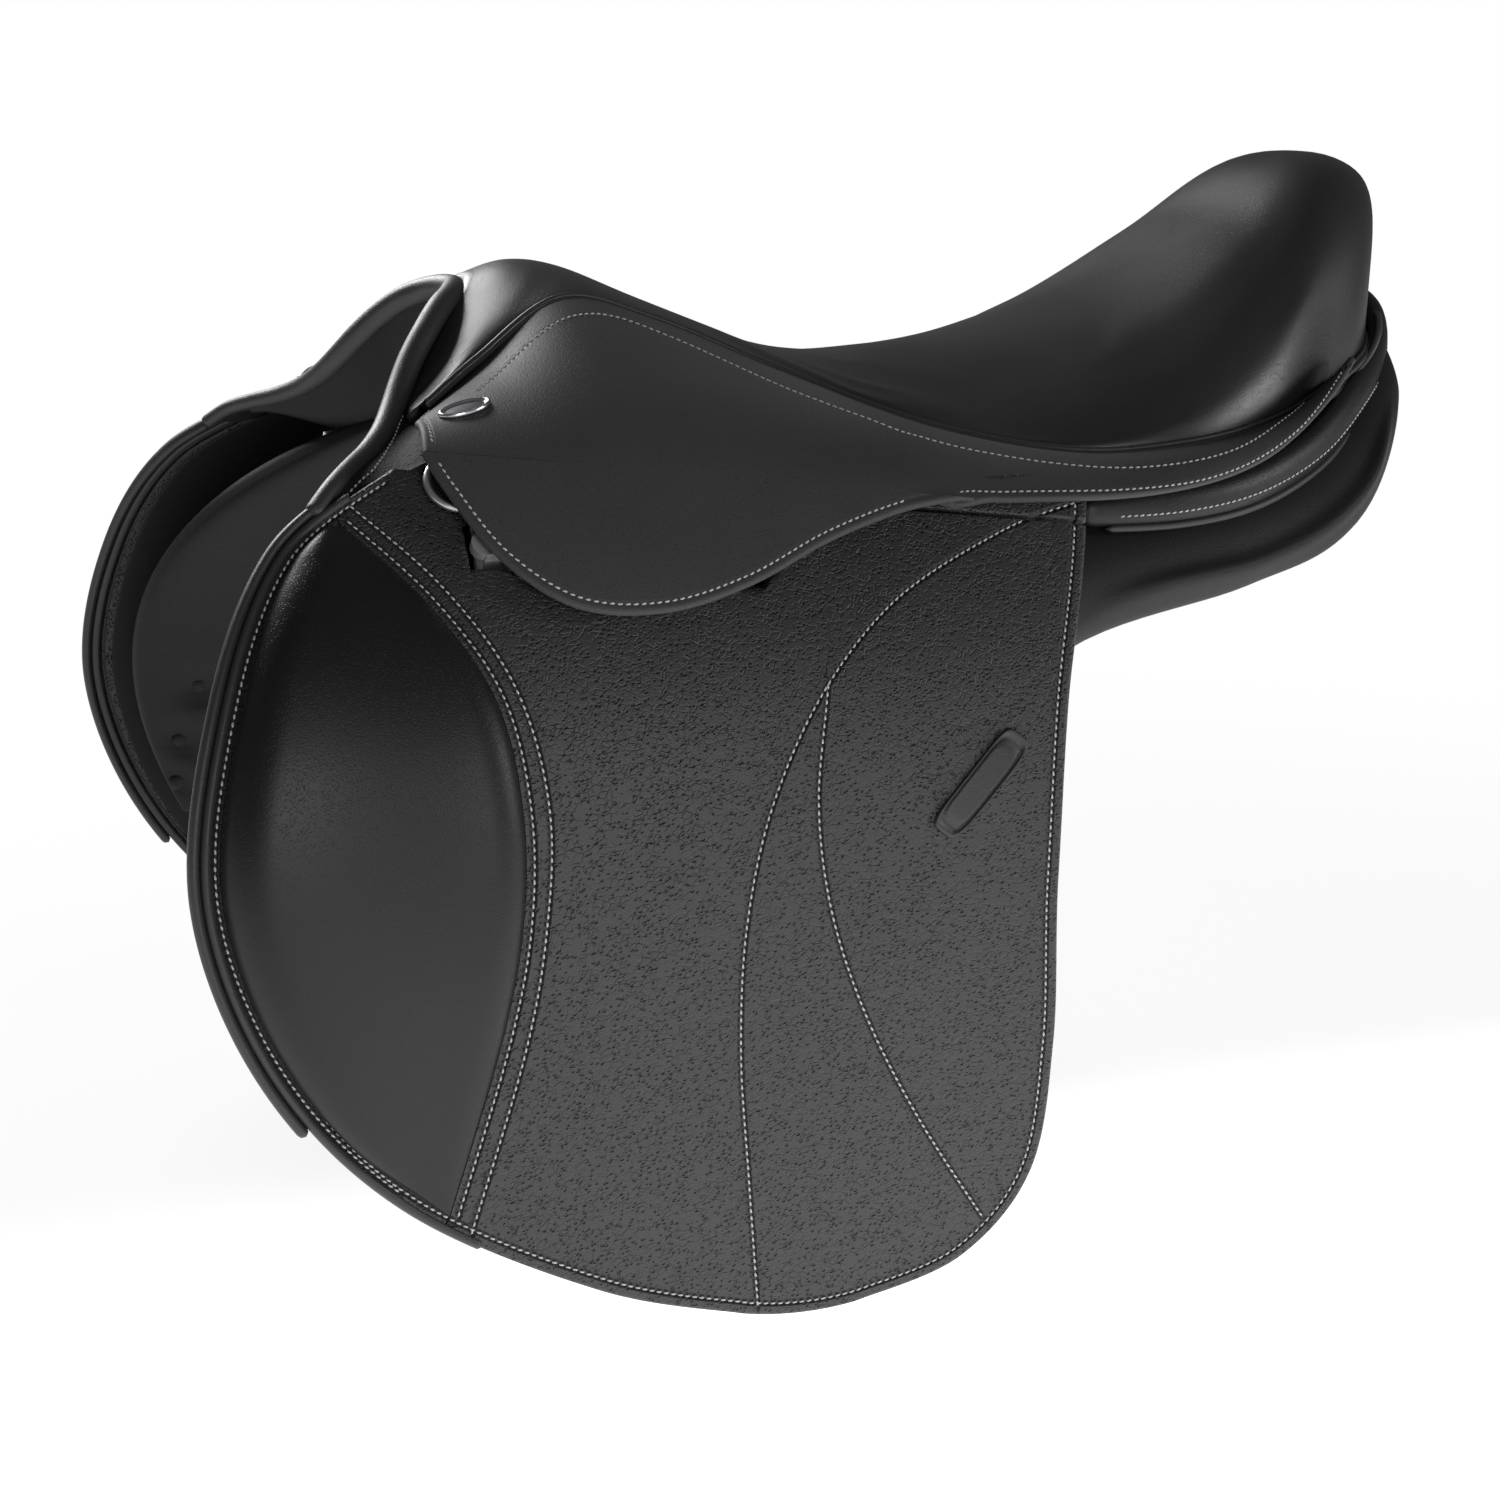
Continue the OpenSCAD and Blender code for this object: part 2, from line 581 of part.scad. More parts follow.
// Long block with rounded rims, between two lines on the sweat flap
module block(front, rear, top_n) {
    ts = end_steps(8);
    ss = end_steps(4);
    low_n = sweat_out + lie_gap;
    places = [for (t = ts) [for (s = ss) mix(curve(front, t), curve(rear, t), s)]];
    slab(
        [for (i = [0:8]) [for (j = [0:4])
            let (p = places[i][j], h = pow(sin(180 * ts[i]) * sin(180 * ss[j]), 0.4))
            side_pt(p[0], p[1], mix(low_n + 1, top_n, clamp01(h)))]],
        [for (row = places) [for (p = row) side_pt(p[0], p[1], low_n)]]
    );
}
block_n = flap_in - 1.2;
module left_knee_block() color(soft_leather)
    block(
        [[ahead(0.287), 20], [ahead(0.609), -40], [ahead(0.563), -105]],
        [[ahead(0.034), 14], [ahead(0.264), -40], [ahead(0.287), -98]], block_n);
module right_knee_block() mirror([0, 1, 0]) left_knee_block();
module left_thigh_block() color(soft_leather)
    block(
        [[flap_tail - 68, -55], [flap_tail - 70, -105], [flap_tail - 76, -160]],
        [[flap_tail - 50, -50], [flap_tail - 50, -105], [flap_tail - 58, -165]], block_n);
module right_thigh_block() mirror([0, 1, 0]) left_thigh_block();

strap_mid_x = -94;
strap_pin_z = 40;
strap_top_z = 52;
strap_xs = [strap_mid_x - strap_pitch / 2, strap_mid_x + strap_pitch / 2];
strap_pin_r = 3;
hole_count = 6;
hole_first_z = 20 - strap_drop;
// Webbing that hangs each pair of straps from the tree
module left_girth_web() color(webbing) difference() {
    for (x = strap_xs) {
        top = seat_pt(seam_at(x), -0.8, lining_d) + [0, 0, -1];
        path = [[x, top[1], top[2]], side_pt(x, 80, web_in - 1), side_pt(x, 62, web_in + web_t / 2),
            side_pt(x, 46, web_in + web_t / 2), side_pt(x, 30, web_in + web_t / 2)];
        mids = [for (t = steps(12)) curve(path, t)];
        outs = [for (i = [0:12])
            unit(cross(mids[min(i + 1, 12)] - mids[max(i - 1, 0)], [1, 0, 0])) * web_t / 2];
        strip(mids, outs, strap_w / 2);
    }
    for (x = strap_xs) on_side(x, strap_pin_z)
        translate([0, 0, web_in - 3]) cylinder(r = strap_pin_r, h = web_t + 4);
}
module right_girth_web() mirror([0, 1, 0]) left_girth_web();
module strap_rivets() color(steel) both_sides()
    for (x = strap_xs) on_side(x, strap_pin_z)
        translate([0, 0, web_in]) cylinder(r = strap_pin_r, h = strap_out - web_in + 0.6);

module girth_strap(x) color(leather) difference() {
    tip = strap_w / 2;
    zs = concat([for (t = steps(12)) mix(strap_top_z, 14 - strap_drop, t)], [4 - strap_drop, -strap_drop]);
    half = [for (z = zs) z > 10 - strap_drop ? tip : z > 2 - strap_drop ? 0.8 * tip : 0.3 * tip];
    side_sheet([for (i = [0:len(zs) - 1]) [for (s = [-1, 1]) [x + s * half[i], zs[i]]]], strap_in, strap_out);
    on_side(x, strap_pin_z)
        translate([0, 0, strap_in - 2]) cylinder(r = strap_pin_r + pin_gap, h = strap_t + 4);
    for (k = [0:hole_count - 1])
        on_side(x, hole_first_z + k * hole_pitch)
            translate([0, 0, strap_in - 2]) cylinder(r = hole_r, h = strap_t + 4);
}
module left_front_girth_strap() girth_strap(strap_xs[0]);
module left_rear_girth_strap() girth_strap(strap_xs[1]);
module right_front_girth_strap() mirror([0, 1, 0]) left_front_girth_strap();
module right_rear_girth_strap() mirror([0, 1, 0]) left_rear_girth_strap();

// Stirrup bars: back plate, front leg and bar, with a catch on a pin at the open end
leg_w = 7;
rivet_pitch = 11;
rivet_x = -bar_len / 2 + leg_w + 4;
rivet_y = 5;
module rivet_places() on_side(bar_x, bar_z)
    for (k = [0, 1]) translate([rivet_x + k * rivet_pitch, rivet_y, 0]) children();
tongue_t = bar_t / 2 - 0.2;
nose_r = bar_w / 2 - 0.5;
catch_x = bar_len / 2 + 4;
module left_stirrup_bar() color(steel) on_side(bar_x, bar_z) difference() {
    union() {
        box(-bar_len / 2, bar_len / 2 - 12, -bar_w / 2, bar_w / 2 + 4, plate_in, plate_out);
        box(-bar_len / 2, -bar_len / 2 + leg_w, -bar_w / 2, bar_w / 2, plate_in, bar_out);
        box(-bar_len / 2, catch_x - bar_w / 2 - 0.5, -bar_w / 2, bar_w / 2, bar_out - bar_t, bar_out);
        translate([-bar_len / 2, 0, bar_out - bar_t]) cylinder(r = nose_r, h = bar_t);
        box(0, catch_x, -bar_w / 2, bar_w / 2, bar_out - bar_t, bar_out - bar_t + tongue_t);
        translate([catch_x, 0, bar_out - bar_t]) cylinder(r = bar_w / 2, h = tongue_t);
    }
    translate([catch_x, 0, bar_out - bar_t - 1]) cylinder(r = pin_r, h = bar_t + 2);
    for (k = [0, 1])
        translate([rivet_x + k * rivet_pitch, rivet_y, plate_in - 1]) cylinder(r = pin_r, h = plate_t + 2);
}
module right_stirrup_bar() mirror([0, 1, 0]) left_stirrup_bar();
module left_catch_pin() color(steel) on_side(bar_x, bar_z)
    translate([catch_x, 0, bar_out - bar_t]) cylinder(r = pin_r, h = bar_t);
module right_catch_pin() mirror([0, 1, 0]) left_catch_pin();
module left_bar_catch() color(steel) on_side(bar_x, bar_z) difference() {
    low = bar_out - bar_t + tongue_t + 0.35;
    union() {
        translate([catch_x, 0, low]) cylinder(r = bar_w / 2, h = bar_out - low);
        box(catch_x, catch_x + catch_len, -bar_w / 2 + 1.5, bar_w / 2 - 1.5, low, bar_out);
        translate([catch_x + catch_len, 0, low]) cylinder(r = bar_w / 2 - 1, h = bar_out - low);
    }
    translate([catch_x, 0, low - 1]) cylinder(r = pin_r + pin_gap, h = bar_t + 2);
}
module right_bar_catch() mirror([0, 1, 0]) left_bar_catch();
module bar_rivets() color(steel) both_sides() rivet_places() {
    translate([0, 0, head_out - head_t]) cylinder(r = pin_r, h = plate_out - head_out + head_t);
    translate([0, 0, plate_out]) cylinder(r = 1.7 * pin_r, h = 1.2);
}

// Dee rings in a leather chape on each flap
dee_x = fold_front_x + 25;
dee_z = 83;
dee_turn = 109;
chape_t = 1.3;
chape_room = 2.4;
dee_n = flap_out + lie_gap + chape_t + dee_wire_r;
chape_half = dee_r - dee_wire_r - chape_room;
chape_tail = 8;
module on_dee() on_side(dee_x, dee_z) rotate([0, 0, dee_turn]) translate([0, 0, dee_n]) children();
module left_dee_ring() color(steel) on_dee() {
    rotate([0, 90, 0]) cylinder(r = dee_wire_r, h = 2 * dee_r, center = true);
    rotate_extrude(angle = 180) translate([dee_r, 0]) circle(r = dee_wire_r);
    for (s = [-1, 1]) translate([s * dee_r, 0, 0]) sphere(r = dee_wire_r);
}
module right_dee_ring() mirror([0, 1, 0]) left_dee_ring();
module left_dee_chape() color(leather) on_dee() difference() {
    wrap = dee_wire_r + chape_t;
    box(-chape_half, chape_half, -chape_tail, wrap, -wrap, wrap);
    rotate([0, 90, 0]) cylinder(r = dee_wire_r + pin_gap, h = 4 * chape_half, center = true);
}
module right_dee_chape() mirror([0, 1, 0]) left_dee_chape();

// Panels: a padded sheet from the channel down the side, thicker under the seat, with sewn tufts in front
panel_top = [
    [-pommel_reach - 27, -channel_half - 16, 88], [-pommel_reach + 13, -channel_half - 9, 80],
    [-100, -channel_half - 5, 68], [-30, -channel_half - 2, 54], [50, -channel_half, 46],
    [140, -channel_half, 52], [cantle_reach - 21, -channel_half, 84]
];
panel_mid = [
    [-flap_reach - 33, -192, 15], [-pommel_reach - 37, -200, 42], [-120, -195, 48], [-35, -175, 50],
    [50, -128, 50], [145, -108, 56], [cantle_reach - 11, -72, 84]
];
panel_low = [
    [-flap_reach + 38, -182, -123], [-pommel_reach - 37, -184, -128], [-130, -182, -100], [-50, -172, -45],
    [45, -140, 2], [140, -114, 25], [cantle_reach - 23, -70, 68]
];
function panel_centre(u, q) =
    let (a = curve(panel_top, u), b = curve(panel_mid, u), c = curve(panel_low, u))
    (1 - q) * (1 - q) * a + 2 * q * (1 - q) * b + q * q * c;
tufts = [[0.035, 0.62], [0.05, 0.74], [0.06, 0.86]];
tuft_r = 0.05;
tuft_depth = 0.45;
function tuft(u, q) =
    1 - tuft_depth * max([for (p = tufts)
        exp(-(pow((u - p[0]) / tuft_r * 1.6, 2) + pow((q - p[1]) / tuft_r, 2)))]);
function panel_thick(u, q) =
    let (body = mix(front_pad_half, panel_half, smooth(0.1, 0.55, u) * (1 - 0.35 * smooth(0.8, 1, u))),
        rim = pow(max(0, 1 - pow(abs(2 * q - 1), 3)), 0.5) * pow(max(0, 1 - pow(abs(2 * u - 1), 14)), 0.5))
    1.2 + body * rim;
// Keeps a panel point inside the sweat flap
function under_sweat(p) =
    let (q = sqrt(1 + pow(side_g(p[2]), 2)))
    [p[0], max(p[1], -(side_y(p[2]) + (panel_out - 0.8) * q)), p[2]];
module left_panel() color(lining_leather) {
    us = end_steps(28);
    qs = end_steps(14);
    centre = [for (u = us) [for (q = qs) panel_centre(u, q)]];
    out = [for (u = us) [for (q = qs)
        let (e = 0.01, a = panel_centre(clamp01(u + e), q) - panel_centre(clamp01(u - e), q),
            b = panel_centre(u, clamp01(q + e)) - panel_centre(u, clamp01(q - e)))
        unit(cross(b, a)) * panel_thick(u, q) * tuft(u, q)]];
    slab(
        [for (i = [0:28]) [for (j = [0:14]) under_sweat(centre[i][j] + out[i][j])]],
        [for (i = [0:28]) [for (j = [0:14]) under_sweat(centre[i][j] - out[i][j]) + [0, 0.4, 0]]]
    );
}
module right_panel() mirror([0, 1, 0]) left_panel();

// Padded facing between the panels and the skirt tails, round the back of the cantle
facing_left = [
    [52, -136, 60], [100, -134, 61], [140, -126, 66], [178, -112, 77], [210, -92.1, 92.9],
    [cantle_reach - 21, -50, seam_h + 25.7]
];
facing_squash = 0.62;
module rear_facing() color(soft_leather) {
    back = [cantle_reach - 11, 0, seam_h + 31.7];
    path = concat(facing_left, [back], [for (i = [5:-1:0]) flip(facing_left[i])]);
    n = 40;
    sides = 10;
    mids = [for (t = steps(n)) curve(path, t)];
    rings = [for (i = [0:n])
        let (t = unit(mids[min(i + 1, n)] - mids[max(i - 1, 0)]), a = unit(cross(t, [0, 0, 1])),
            b = cross(t, a), r = facing_h / 2 * (0.35 + 0.65 * pow(sin(180 * i / n), 0.3)))
        [for (j = [0:sides - 1])
            let (e = 360 * j / sides) mids[i] + r * (facing_squash * cos(e) * a + sin(e) * b)]];
    faces = concat(
        [for (i = [0:n - 1], j = [0:sides - 1])
            let (a = i * sides + j, b = i * sides + (j + 1) % sides)
            each [[a, b, b + sides], [a, b + sides, a + sides]]],
        [for (j = [1:sides - 2]) [0, j + 1, j]],
        [for (j = [1:sides - 2]) let (o = n * sides) [o, o + j, o + j + 1]]
    );
    polyhedron(
        points = [for (ring = rings) each ring],
        faces = [for (f = faces) [f[2], f[1], f[0]]],
        convexity = 6
    );
}

tree_frame();
head_plate();
seat_webs();
seat_cover();
seat_foam();
seat_welt();
pommel_roll();
channel_lining();
rear_facing();
bar_rivets();
strap_rivets();
skirt_studs();
left_skirt_band();
right_skirt_band();
left_flap_head();
right_flap_head();
left_stirrup_bar();
right_stirrup_bar();
left_catch_pin();
right_catch_pin();
left_bar_catch();
right_bar_catch();
left_panel();
right_panel();
left_sweat_flap();
right_sweat_flap();
left_knee_block();
right_knee_block();
left_thigh_block();
right_thigh_block();
left_girth_web();
right_girth_web();
left_front_girth_strap();
right_front_girth_strap();
left_rear_girth_strap();
right_rear_girth_strap();
left_flap();
right_flap();
left_flap_roll();
right_flap_roll();
left_knee_pad();
right_knee_pad();
left_skirt();
right_skirt();
left_dee_chape();
right_dee_chape();
left_dee_ring();
right_dee_ring();
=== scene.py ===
"""Jumping saddle: padded seat, skirts, flaps with knee pads, panels and girth straps over a steel-headed
tree."""

import bpy
import numpy as np
from mathutils import Matrix


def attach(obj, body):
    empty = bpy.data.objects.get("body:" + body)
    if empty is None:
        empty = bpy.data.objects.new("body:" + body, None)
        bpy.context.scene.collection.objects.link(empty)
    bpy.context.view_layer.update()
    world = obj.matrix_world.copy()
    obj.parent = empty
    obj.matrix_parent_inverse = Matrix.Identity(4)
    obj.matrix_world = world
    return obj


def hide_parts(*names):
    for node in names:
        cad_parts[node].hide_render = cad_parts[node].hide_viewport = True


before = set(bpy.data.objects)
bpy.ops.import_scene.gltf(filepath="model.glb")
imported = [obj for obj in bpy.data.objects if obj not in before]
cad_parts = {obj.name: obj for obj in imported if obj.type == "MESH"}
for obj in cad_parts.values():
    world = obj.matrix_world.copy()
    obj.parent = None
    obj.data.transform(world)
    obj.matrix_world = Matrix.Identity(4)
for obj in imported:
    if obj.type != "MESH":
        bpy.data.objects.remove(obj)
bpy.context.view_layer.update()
scene = bpy.context.scene

# Numbers and curves. Everything below is worked out in millimetres and put into meshes in metres.

MM = 0.001
X, Y, Z = np.eye(3)
MIRROR = np.array([1, -1, 1])
NEAR_EDGE = np.array([0.12, 0.4, 0.8, 1.3, 1.9, 2.7])


def mix(a, b, t):
    """Straight blend from a to b."""
    return a + (b - a) * t


def smooth(a, b, x):
    """Cubic step: 0 before a, 1 after b."""
    t = np.clip((x - a) / (b - a), 0, 1)
    return t * t * (3 - 2 * t)


def unit(v):
    """Vectors of length one."""
    return v / np.maximum(np.linalg.norm(v, axis=-1, keepdims=True), 1e-9)


def towards(v, way):
    """Vectors turned round where they point against a way."""
    return v * np.sign((v * way).sum(-1, keepdims=True))


def even(n):
    """n even steps from 0 to 1."""
    return np.linspace(0, 1, n)


def eased(n):
    """n steps from 0 to 1 as half a turn of a cosine, closer together at both ends."""
    return (1 - np.cos(np.pi * even(n))) / 2


def rim_steps(n, length, low=True, high=True):
    """n even steps from 0 to 1, with more of them within a few millimetres of an edge that is rounded."""
    r = NEAR_EDGE / length
    extra = np.concatenate([r if low else r[:0], 1 - r if high else r[:0]])
    return np.unique(np.round(np.concatenate([even(n), extra]), 6))


def grid(a, b):
    """Values a down the rows and b along the columns of a grid."""
    return np.meshgrid(a, b, indexing="ij")


def curve(points, t):
    """Smooth curve through points: on each span the cubic whose slopes are half the chord of the
    neighbours."""
    p = np.asarray(points, float)
    n = len(p) - 1
    s = np.clip(np.asarray(t, float), 0, 1) * n
    i = np.minimum(s.astype(int), n - 1)
    f = (s - i)[..., None]
    a, b, c, d = p[np.maximum(i - 1, 0)], p[i], p[i + 1], p[np.minimum(i + 2, n)]
    return b + f * ((c - a) / 2 + f * ((2 * a - 5 * b + 4 * c - d) / 2 + f * (3 * b - a - 3 * c + d) / 2))


def loop(points, count):
    """Closed smooth curve through points, as count places."""
    p = np.asarray(points, float)
    q = np.concatenate([p[-2:], p, p[:3]])
    return curve(q, (2 + len(p) * np.arange(count) / count) / (len(q) - 1))


def oval(n, a, b):
    """n points of an ellipse about 0 with the half axes a and b."""
    e = 2 * np.pi * np.arange(n) / n
    return np.cos(e)[:, None] * a + np.sin(e)[:, None] * b


def lengths(path):
    """Length of a path up to each of its points."""
    return np.concatenate([[0], np.cumsum(np.linalg.norm(np.diff(path, axis=0), axis=1))])


def at(length, values, s):
    """Values given along a path, read at lengths s."""
    return np.stack([np.interp(s, length, v) for v in values.T], -1)


def run_of(path):
    """Directions along a path."""
    return unit(np.gradient(path, axis=0))


def left_of(run):
    """Directions to the left of flat directions."""
    return np.stack([-run[..., 1], run[..., 0]], -1)


def square_to(points):
    """Directions square to a grid of points."""
    return unit(np.cross(np.gradient(points, axis=0), np.gradient(points, axis=1)))


def from_line(points, line):
    """Distance of points from a line of straight pieces, and on which side of it they lie (1 left, -1
    right)."""
    a, b = line[:-1], line[1:]
    best = np.full(points.shape[0], 1e9)
    side = np.ones(points.shape[0])
    for p, e in zip(a, b - a):
        r = points - p
        t = np.clip(r @ e / max(e @ e, 1e-12), 0, 1)
        d = np.linalg.norm(r - t[:, None] * e, axis=1)
        near = d < best
        best[near] = d[near]
        if points.shape[1] == 2:
            side[near] = np.sign(e[0] * r[near, 1] - e[1] * r[near, 0])
    return best, side


# The side of the saddle: a surface bent only one way, so its flat pattern is (x, length up the slope)

HALF_SPREAD, SLOPE, TURN_H, TURN = 212.0, 1.15, 29.0, 35.0
FLAP_OUT, FLAP_T, SKIRT_MID, SKIRT_T = 2.0, 4.0, 10.75, 3.5
SWEAT_OUT, SWEAT_IN, PANEL_OUT = -12.9, -15.9, -16.25


def side_y(z):
    """Half width of the flap's middle at height z: a slope that turns upright over a given length."""
    return HALF_SPREAD - SLOPE * TURN * np.logaddexp(0, (z - TURN_H) / TURN)


def side_g(z):
    """Slope of the side at height z."""
    return SLOPE / (1 + np.exp((TURN_H - z) / TURN))


def side_out(z):
    """Direction out of the left side at height z."""
    g = side_g(z)
    return unit(np.stack([0 * g, -np.ones_like(g), g], -1))


def on_side(x, z, n):
    """Point n outward of the left flap's middle, at the place x, z."""
    x, z, n = np.broadcast_arrays(*(np.asarray(v, float) for v in (x, z, n)))
    return np.stack([x, -side_y(z), z], -1) + n[..., None] * side_out(z)


def laid(place, n):
    """Points n outward of the left flap's middle, at places x, z in one array."""
    return on_side(place[..., 0], place[..., 1], n)


HEIGHT_STEP = 0.1
HEIGHTS = np.linspace(-330, 230, 5601)
SLANTS = np.sqrt(1 + side_g(HEIGHTS[1:] - HEIGHT_STEP / 2) ** 2)
LENGTHS = np.concatenate([[0], np.cumsum(SLANTS * HEIGHT_STEP)])


def flat(place):
    """Flat pattern of places x, z."""
    place = np.asarray(place, float)
    return np.stack([place[..., 0], np.interp(place[..., 1], HEIGHTS, LENGTHS)], -1)


def unflat(pattern):
    """Places x, z of a flat pattern."""
    return np.stack([pattern[..., 0], np.interp(pattern[..., 1], LENGTHS, HEIGHTS)], -1)


def inset(places, d):
    """A line of places moved d to its left in the flat pattern."""
    p = flat(places)
    return unflat(p + d * left_of(run_of(p)))


def signed(pattern, line):
    """Distance of a flat pattern's points from a line of places, negative to the right of it."""
    d, side = from_line(pattern.reshape(-1, 2), flat(line))
    return (d * side).reshape(pattern.shape[:2])


# Seat: left seam, centre line, and the surface d below the top; u runs front to back, v left to right

SEAT_EDGE = [
    (-220, -90, 110.5), (-191, -69, 128), (-150, -48, 150), (-107, -40, 140), (-55.2, -53.05, 117.9),
    (0, -89.6, 96), (54.6, -120, 86), (106.5, -127, 88), (155.2, -115, 95), (192.75, -95, 106),
    (219.5, -78, 117), (236.4, -54, 124), (245.4, -28, 128)]
SEAT_MID = [
    (-178, 0, 157), (-160, 0, 162), (-137, 0, 158.5), (-99.7, 0, 142.9), (-42.7, 0, 123), (7, 0, 119),
    (64.25, 0, 124.5), (120.4, 0, 140.5), (173.5, 0, 172.9), (214.1, 0, 203.5), (248, 0, 198.3),
    (257, 0, 173.2), (248, 0, 138.9)]
SEAT_PAD, EDGE_T = 18.0, 3.0
WEB_D, LINING_D = 19.2, 41.9


def seat_edge(u):
    """Left seam of the seat."""
    return curve(SEAT_EDGE, u)


def seat_pt(u, v, d):
    """Between the seam, at v = -1 and 1, and the centre line the seat rises as a dome: a power of 1 minus
    a power of v, flatter towards the cantle, and in front a smooth step that runs beside the pommel's
    roll. Depth d is measured from the centre line along its normal."""
    u, v = np.broadcast_arrays(np.asarray(u, float), np.asarray(v, float))
    e = seat_edge(u)
    t = unit(curve(SEAT_MID, u + 0.01) - curve(SEAT_MID, u - 0.01))
    m = curve(SEAT_MID, u) - d * np.stack([-t[..., 2], 0 * u, t[..., 0]], -1)
    drop = EDGE_T * d / SEAT_PAD if d < SEAT_PAD else EDGE_T + d - SEAT_PAD
    k = smooth(0.42, 0.66, u)
    dome = np.maximum(0, 1 - np.abs(v) ** mix(2, 2.8, k)) ** (1 / mix(1.1, 1.9, k))
    front = 1 - smooth(0, 0.12, u) if d <= SEAT_PAD else 0 * u
    fall = smooth(0, 0.97, np.abs(v))
    across, dome = mix(v * v, fall, front), mix(dome, 1 - fall ** 1.1, front)
    x, z = mix(m[..., 0], e[..., 0], across), mix(e[..., 2] - drop, m[..., 2], dome)
    return np.stack([x, -v * e[..., 1], z], -1)


SEAM_U = np.linspace(0, 1, 4001)
SEAM = seat_edge(SEAM_U)


def seam(x):
    """Left seam at x, carried on straight ahead of its front end."""
    glow_ahead = np.minimum(x - SEAM[0, 0], 0)[..., None] * np.array([1, 0.8, 0.57])
    return seat_edge(np.interp(x, SEAM[:, 0], SEAM_U)) + glow_ahead


# Shapes and meshes

# Rims of a grid that can be cut: its first and last row, its first and last column
RIMS = FIRST_ROW, LAST_ROW, FIRST_COL, LAST_COL = 0, -1, np.s_[:, 0], np.s_[:, -1]
NO_EDGE = 9.0


class Shape:
    """Points in millimetres, quads and triangles over them, a flat pattern and other values at the
    points."""

    def __init__(self, points, faces, pattern=None, **values):
        self.points = np.asarray(points, float).reshape(-1, 3)
        self.faces = [np.asarray(f, int) for f in faces]
        self.pattern = None if pattern is None else np.asarray(pattern, float).reshape(-1, 2)
        self.values = {k: np.asarray(v, float).reshape(-1) for k, v in values.items()}

    def outward(self):
        """Turns the faces round if the volume they enclose comes out negative."""
        volume = 0.0
        for f in self.faces:
            a, b, c = self.points[f[:, 0]], self.points[f[:, 1]], self.points[f[:, 2]]
            volume += np.einsum("ij,ij->i", a, np.cross(b, c)).sum()
            if f.shape[1] == 4:
                volume += np.einsum("ij,ij->i", a, np.cross(c, self.points[f[:, 3]])).sum()
        if volume < 0:
            self.faces = [f[:, ::-1] for f in self.faces]
        return self

    def mirrored(self):
        """The same shape on the other side."""
        return Shape(self.points * MIRROR, [f[:, ::-1] for f in self.faces], self.pattern, **self.values)

    def uncut(self):
        """The same shape, marked as having no cut edge near any point."""
        self.values["edge"] = np.full(len(self.points), NO_EDGE)
        return self

    def __add__(self, other):
        faces = self.faces + [f + len(self.points) for f in other.faces]
        pattern = None if self.pattern is None else np.concatenate([self.pattern, other.pattern])
        values = {k: np.concatenate([v, other.values[k]]) for k, v in self.values.items()}
        return Shape(np.concatenate([self.points, other.points]), faces, pattern, **values)


def joined(shapes):
    """Several shapes of a kind as one."""
    first, *others = shapes
    return sum(others, first)


def grid_faces(rows, cols, around=False):
    """Quads of a grid of points; around joins the last column to the first."""
    i = np.arange(rows - 1)[:, None] * cols
    j = np.arange(cols if around else cols - 1)[None]
    k = (j + 1) % cols
    return np.stack([i + j, i + k, i + cols + k, i + cols + j], -1).reshape(-1, 4)


def fan(first, k, tip):
    """Triangles between a ring of k points and a tip."""
    j = np.arange(k)
    return np.stack([first + j, first + (j + 1) % k, np.full(k, tip)], -1)


def closed_sheet(top, low, pattern=None, **values):
    """Two grids with the same rows and columns, joined round their rim."""
    rows, cols = top.shape[:2]
    half = rows * cols
    f = grid_faces(rows, cols)
    index = np.arange(half).reshape(rows, cols)
    rim = np.concatenate([index[0, :-1], index[:-1, -1], index[-1, :0:-1], index[:0:-1, 0]])
    after = np.roll(rim, -1)
    faces = np.concatenate([f, f[:, ::-1] + half, np.stack([rim, rim + half, after + half, after], -1)])
    both = {k: np.tile(v.ravel(), 2) for k, v in values.items()}
    twice = None if pattern is None else np.tile(pattern.reshape(-1, 2), (2, 1))
    return Shape(np.concatenate([top.reshape(-1, 3), low.reshape(-1, 3)]), [faces], twice, **both).outward()


def leather_sheet(mid, out, thick, cut=RIMS, pattern=None, **values):
    """Leather cut along some of its rims: half the thickness falls there as a quarter circle, where the
    distance from the nearest of them is less than half the thickness."""
    d = np.min([from_line(mid.reshape(-1, 3), mid[c])[0] for c in cut], axis=0).reshape(mid.shape[:2])
    r = thick / 2
    h = r * np.sqrt(np.maximum(0.004, 1 - np.clip(1 - d / r, 0, 1) ** 2))[..., None]
    return closed_sheet(mid + h * out, mid - h * out, pattern, edge=d, **values)


def side_sheet(place, n, thick, cut=RIMS, **values):
    """Leather on the side over a grid of places, its middle n outward."""
    return leather_sheet(laid(place, n), side_out(place[..., 1]), thick, cut, flat(place), **values)


def carried(rings):
    """Closed profile carried along a path: one ring of points for each place, shut by a fan at both ends.
    Its flat pattern is the length along its middle and the way round."""
    n, k = rings.shape[:2]
    middle = rings.mean(1)
    around = np.linalg.norm(rings[n // 2] - middle[n // 2], axis=1).mean() * 2 * np.pi
    pattern = np.stack(grid(lengths(middle), even(k) * around), -1).reshape(-1, 2)
    faces = [grid_faces(n, k, True), fan(0, k, n * k)[:, ::-1], fan((n - 1) * k, k, n * k + 1)]
    return Shape(np.concatenate([rings.reshape(-1, 3), middle[[0, -1]]]), faces,
                 np.concatenate([pattern, pattern[[0, -1]]])).outward()


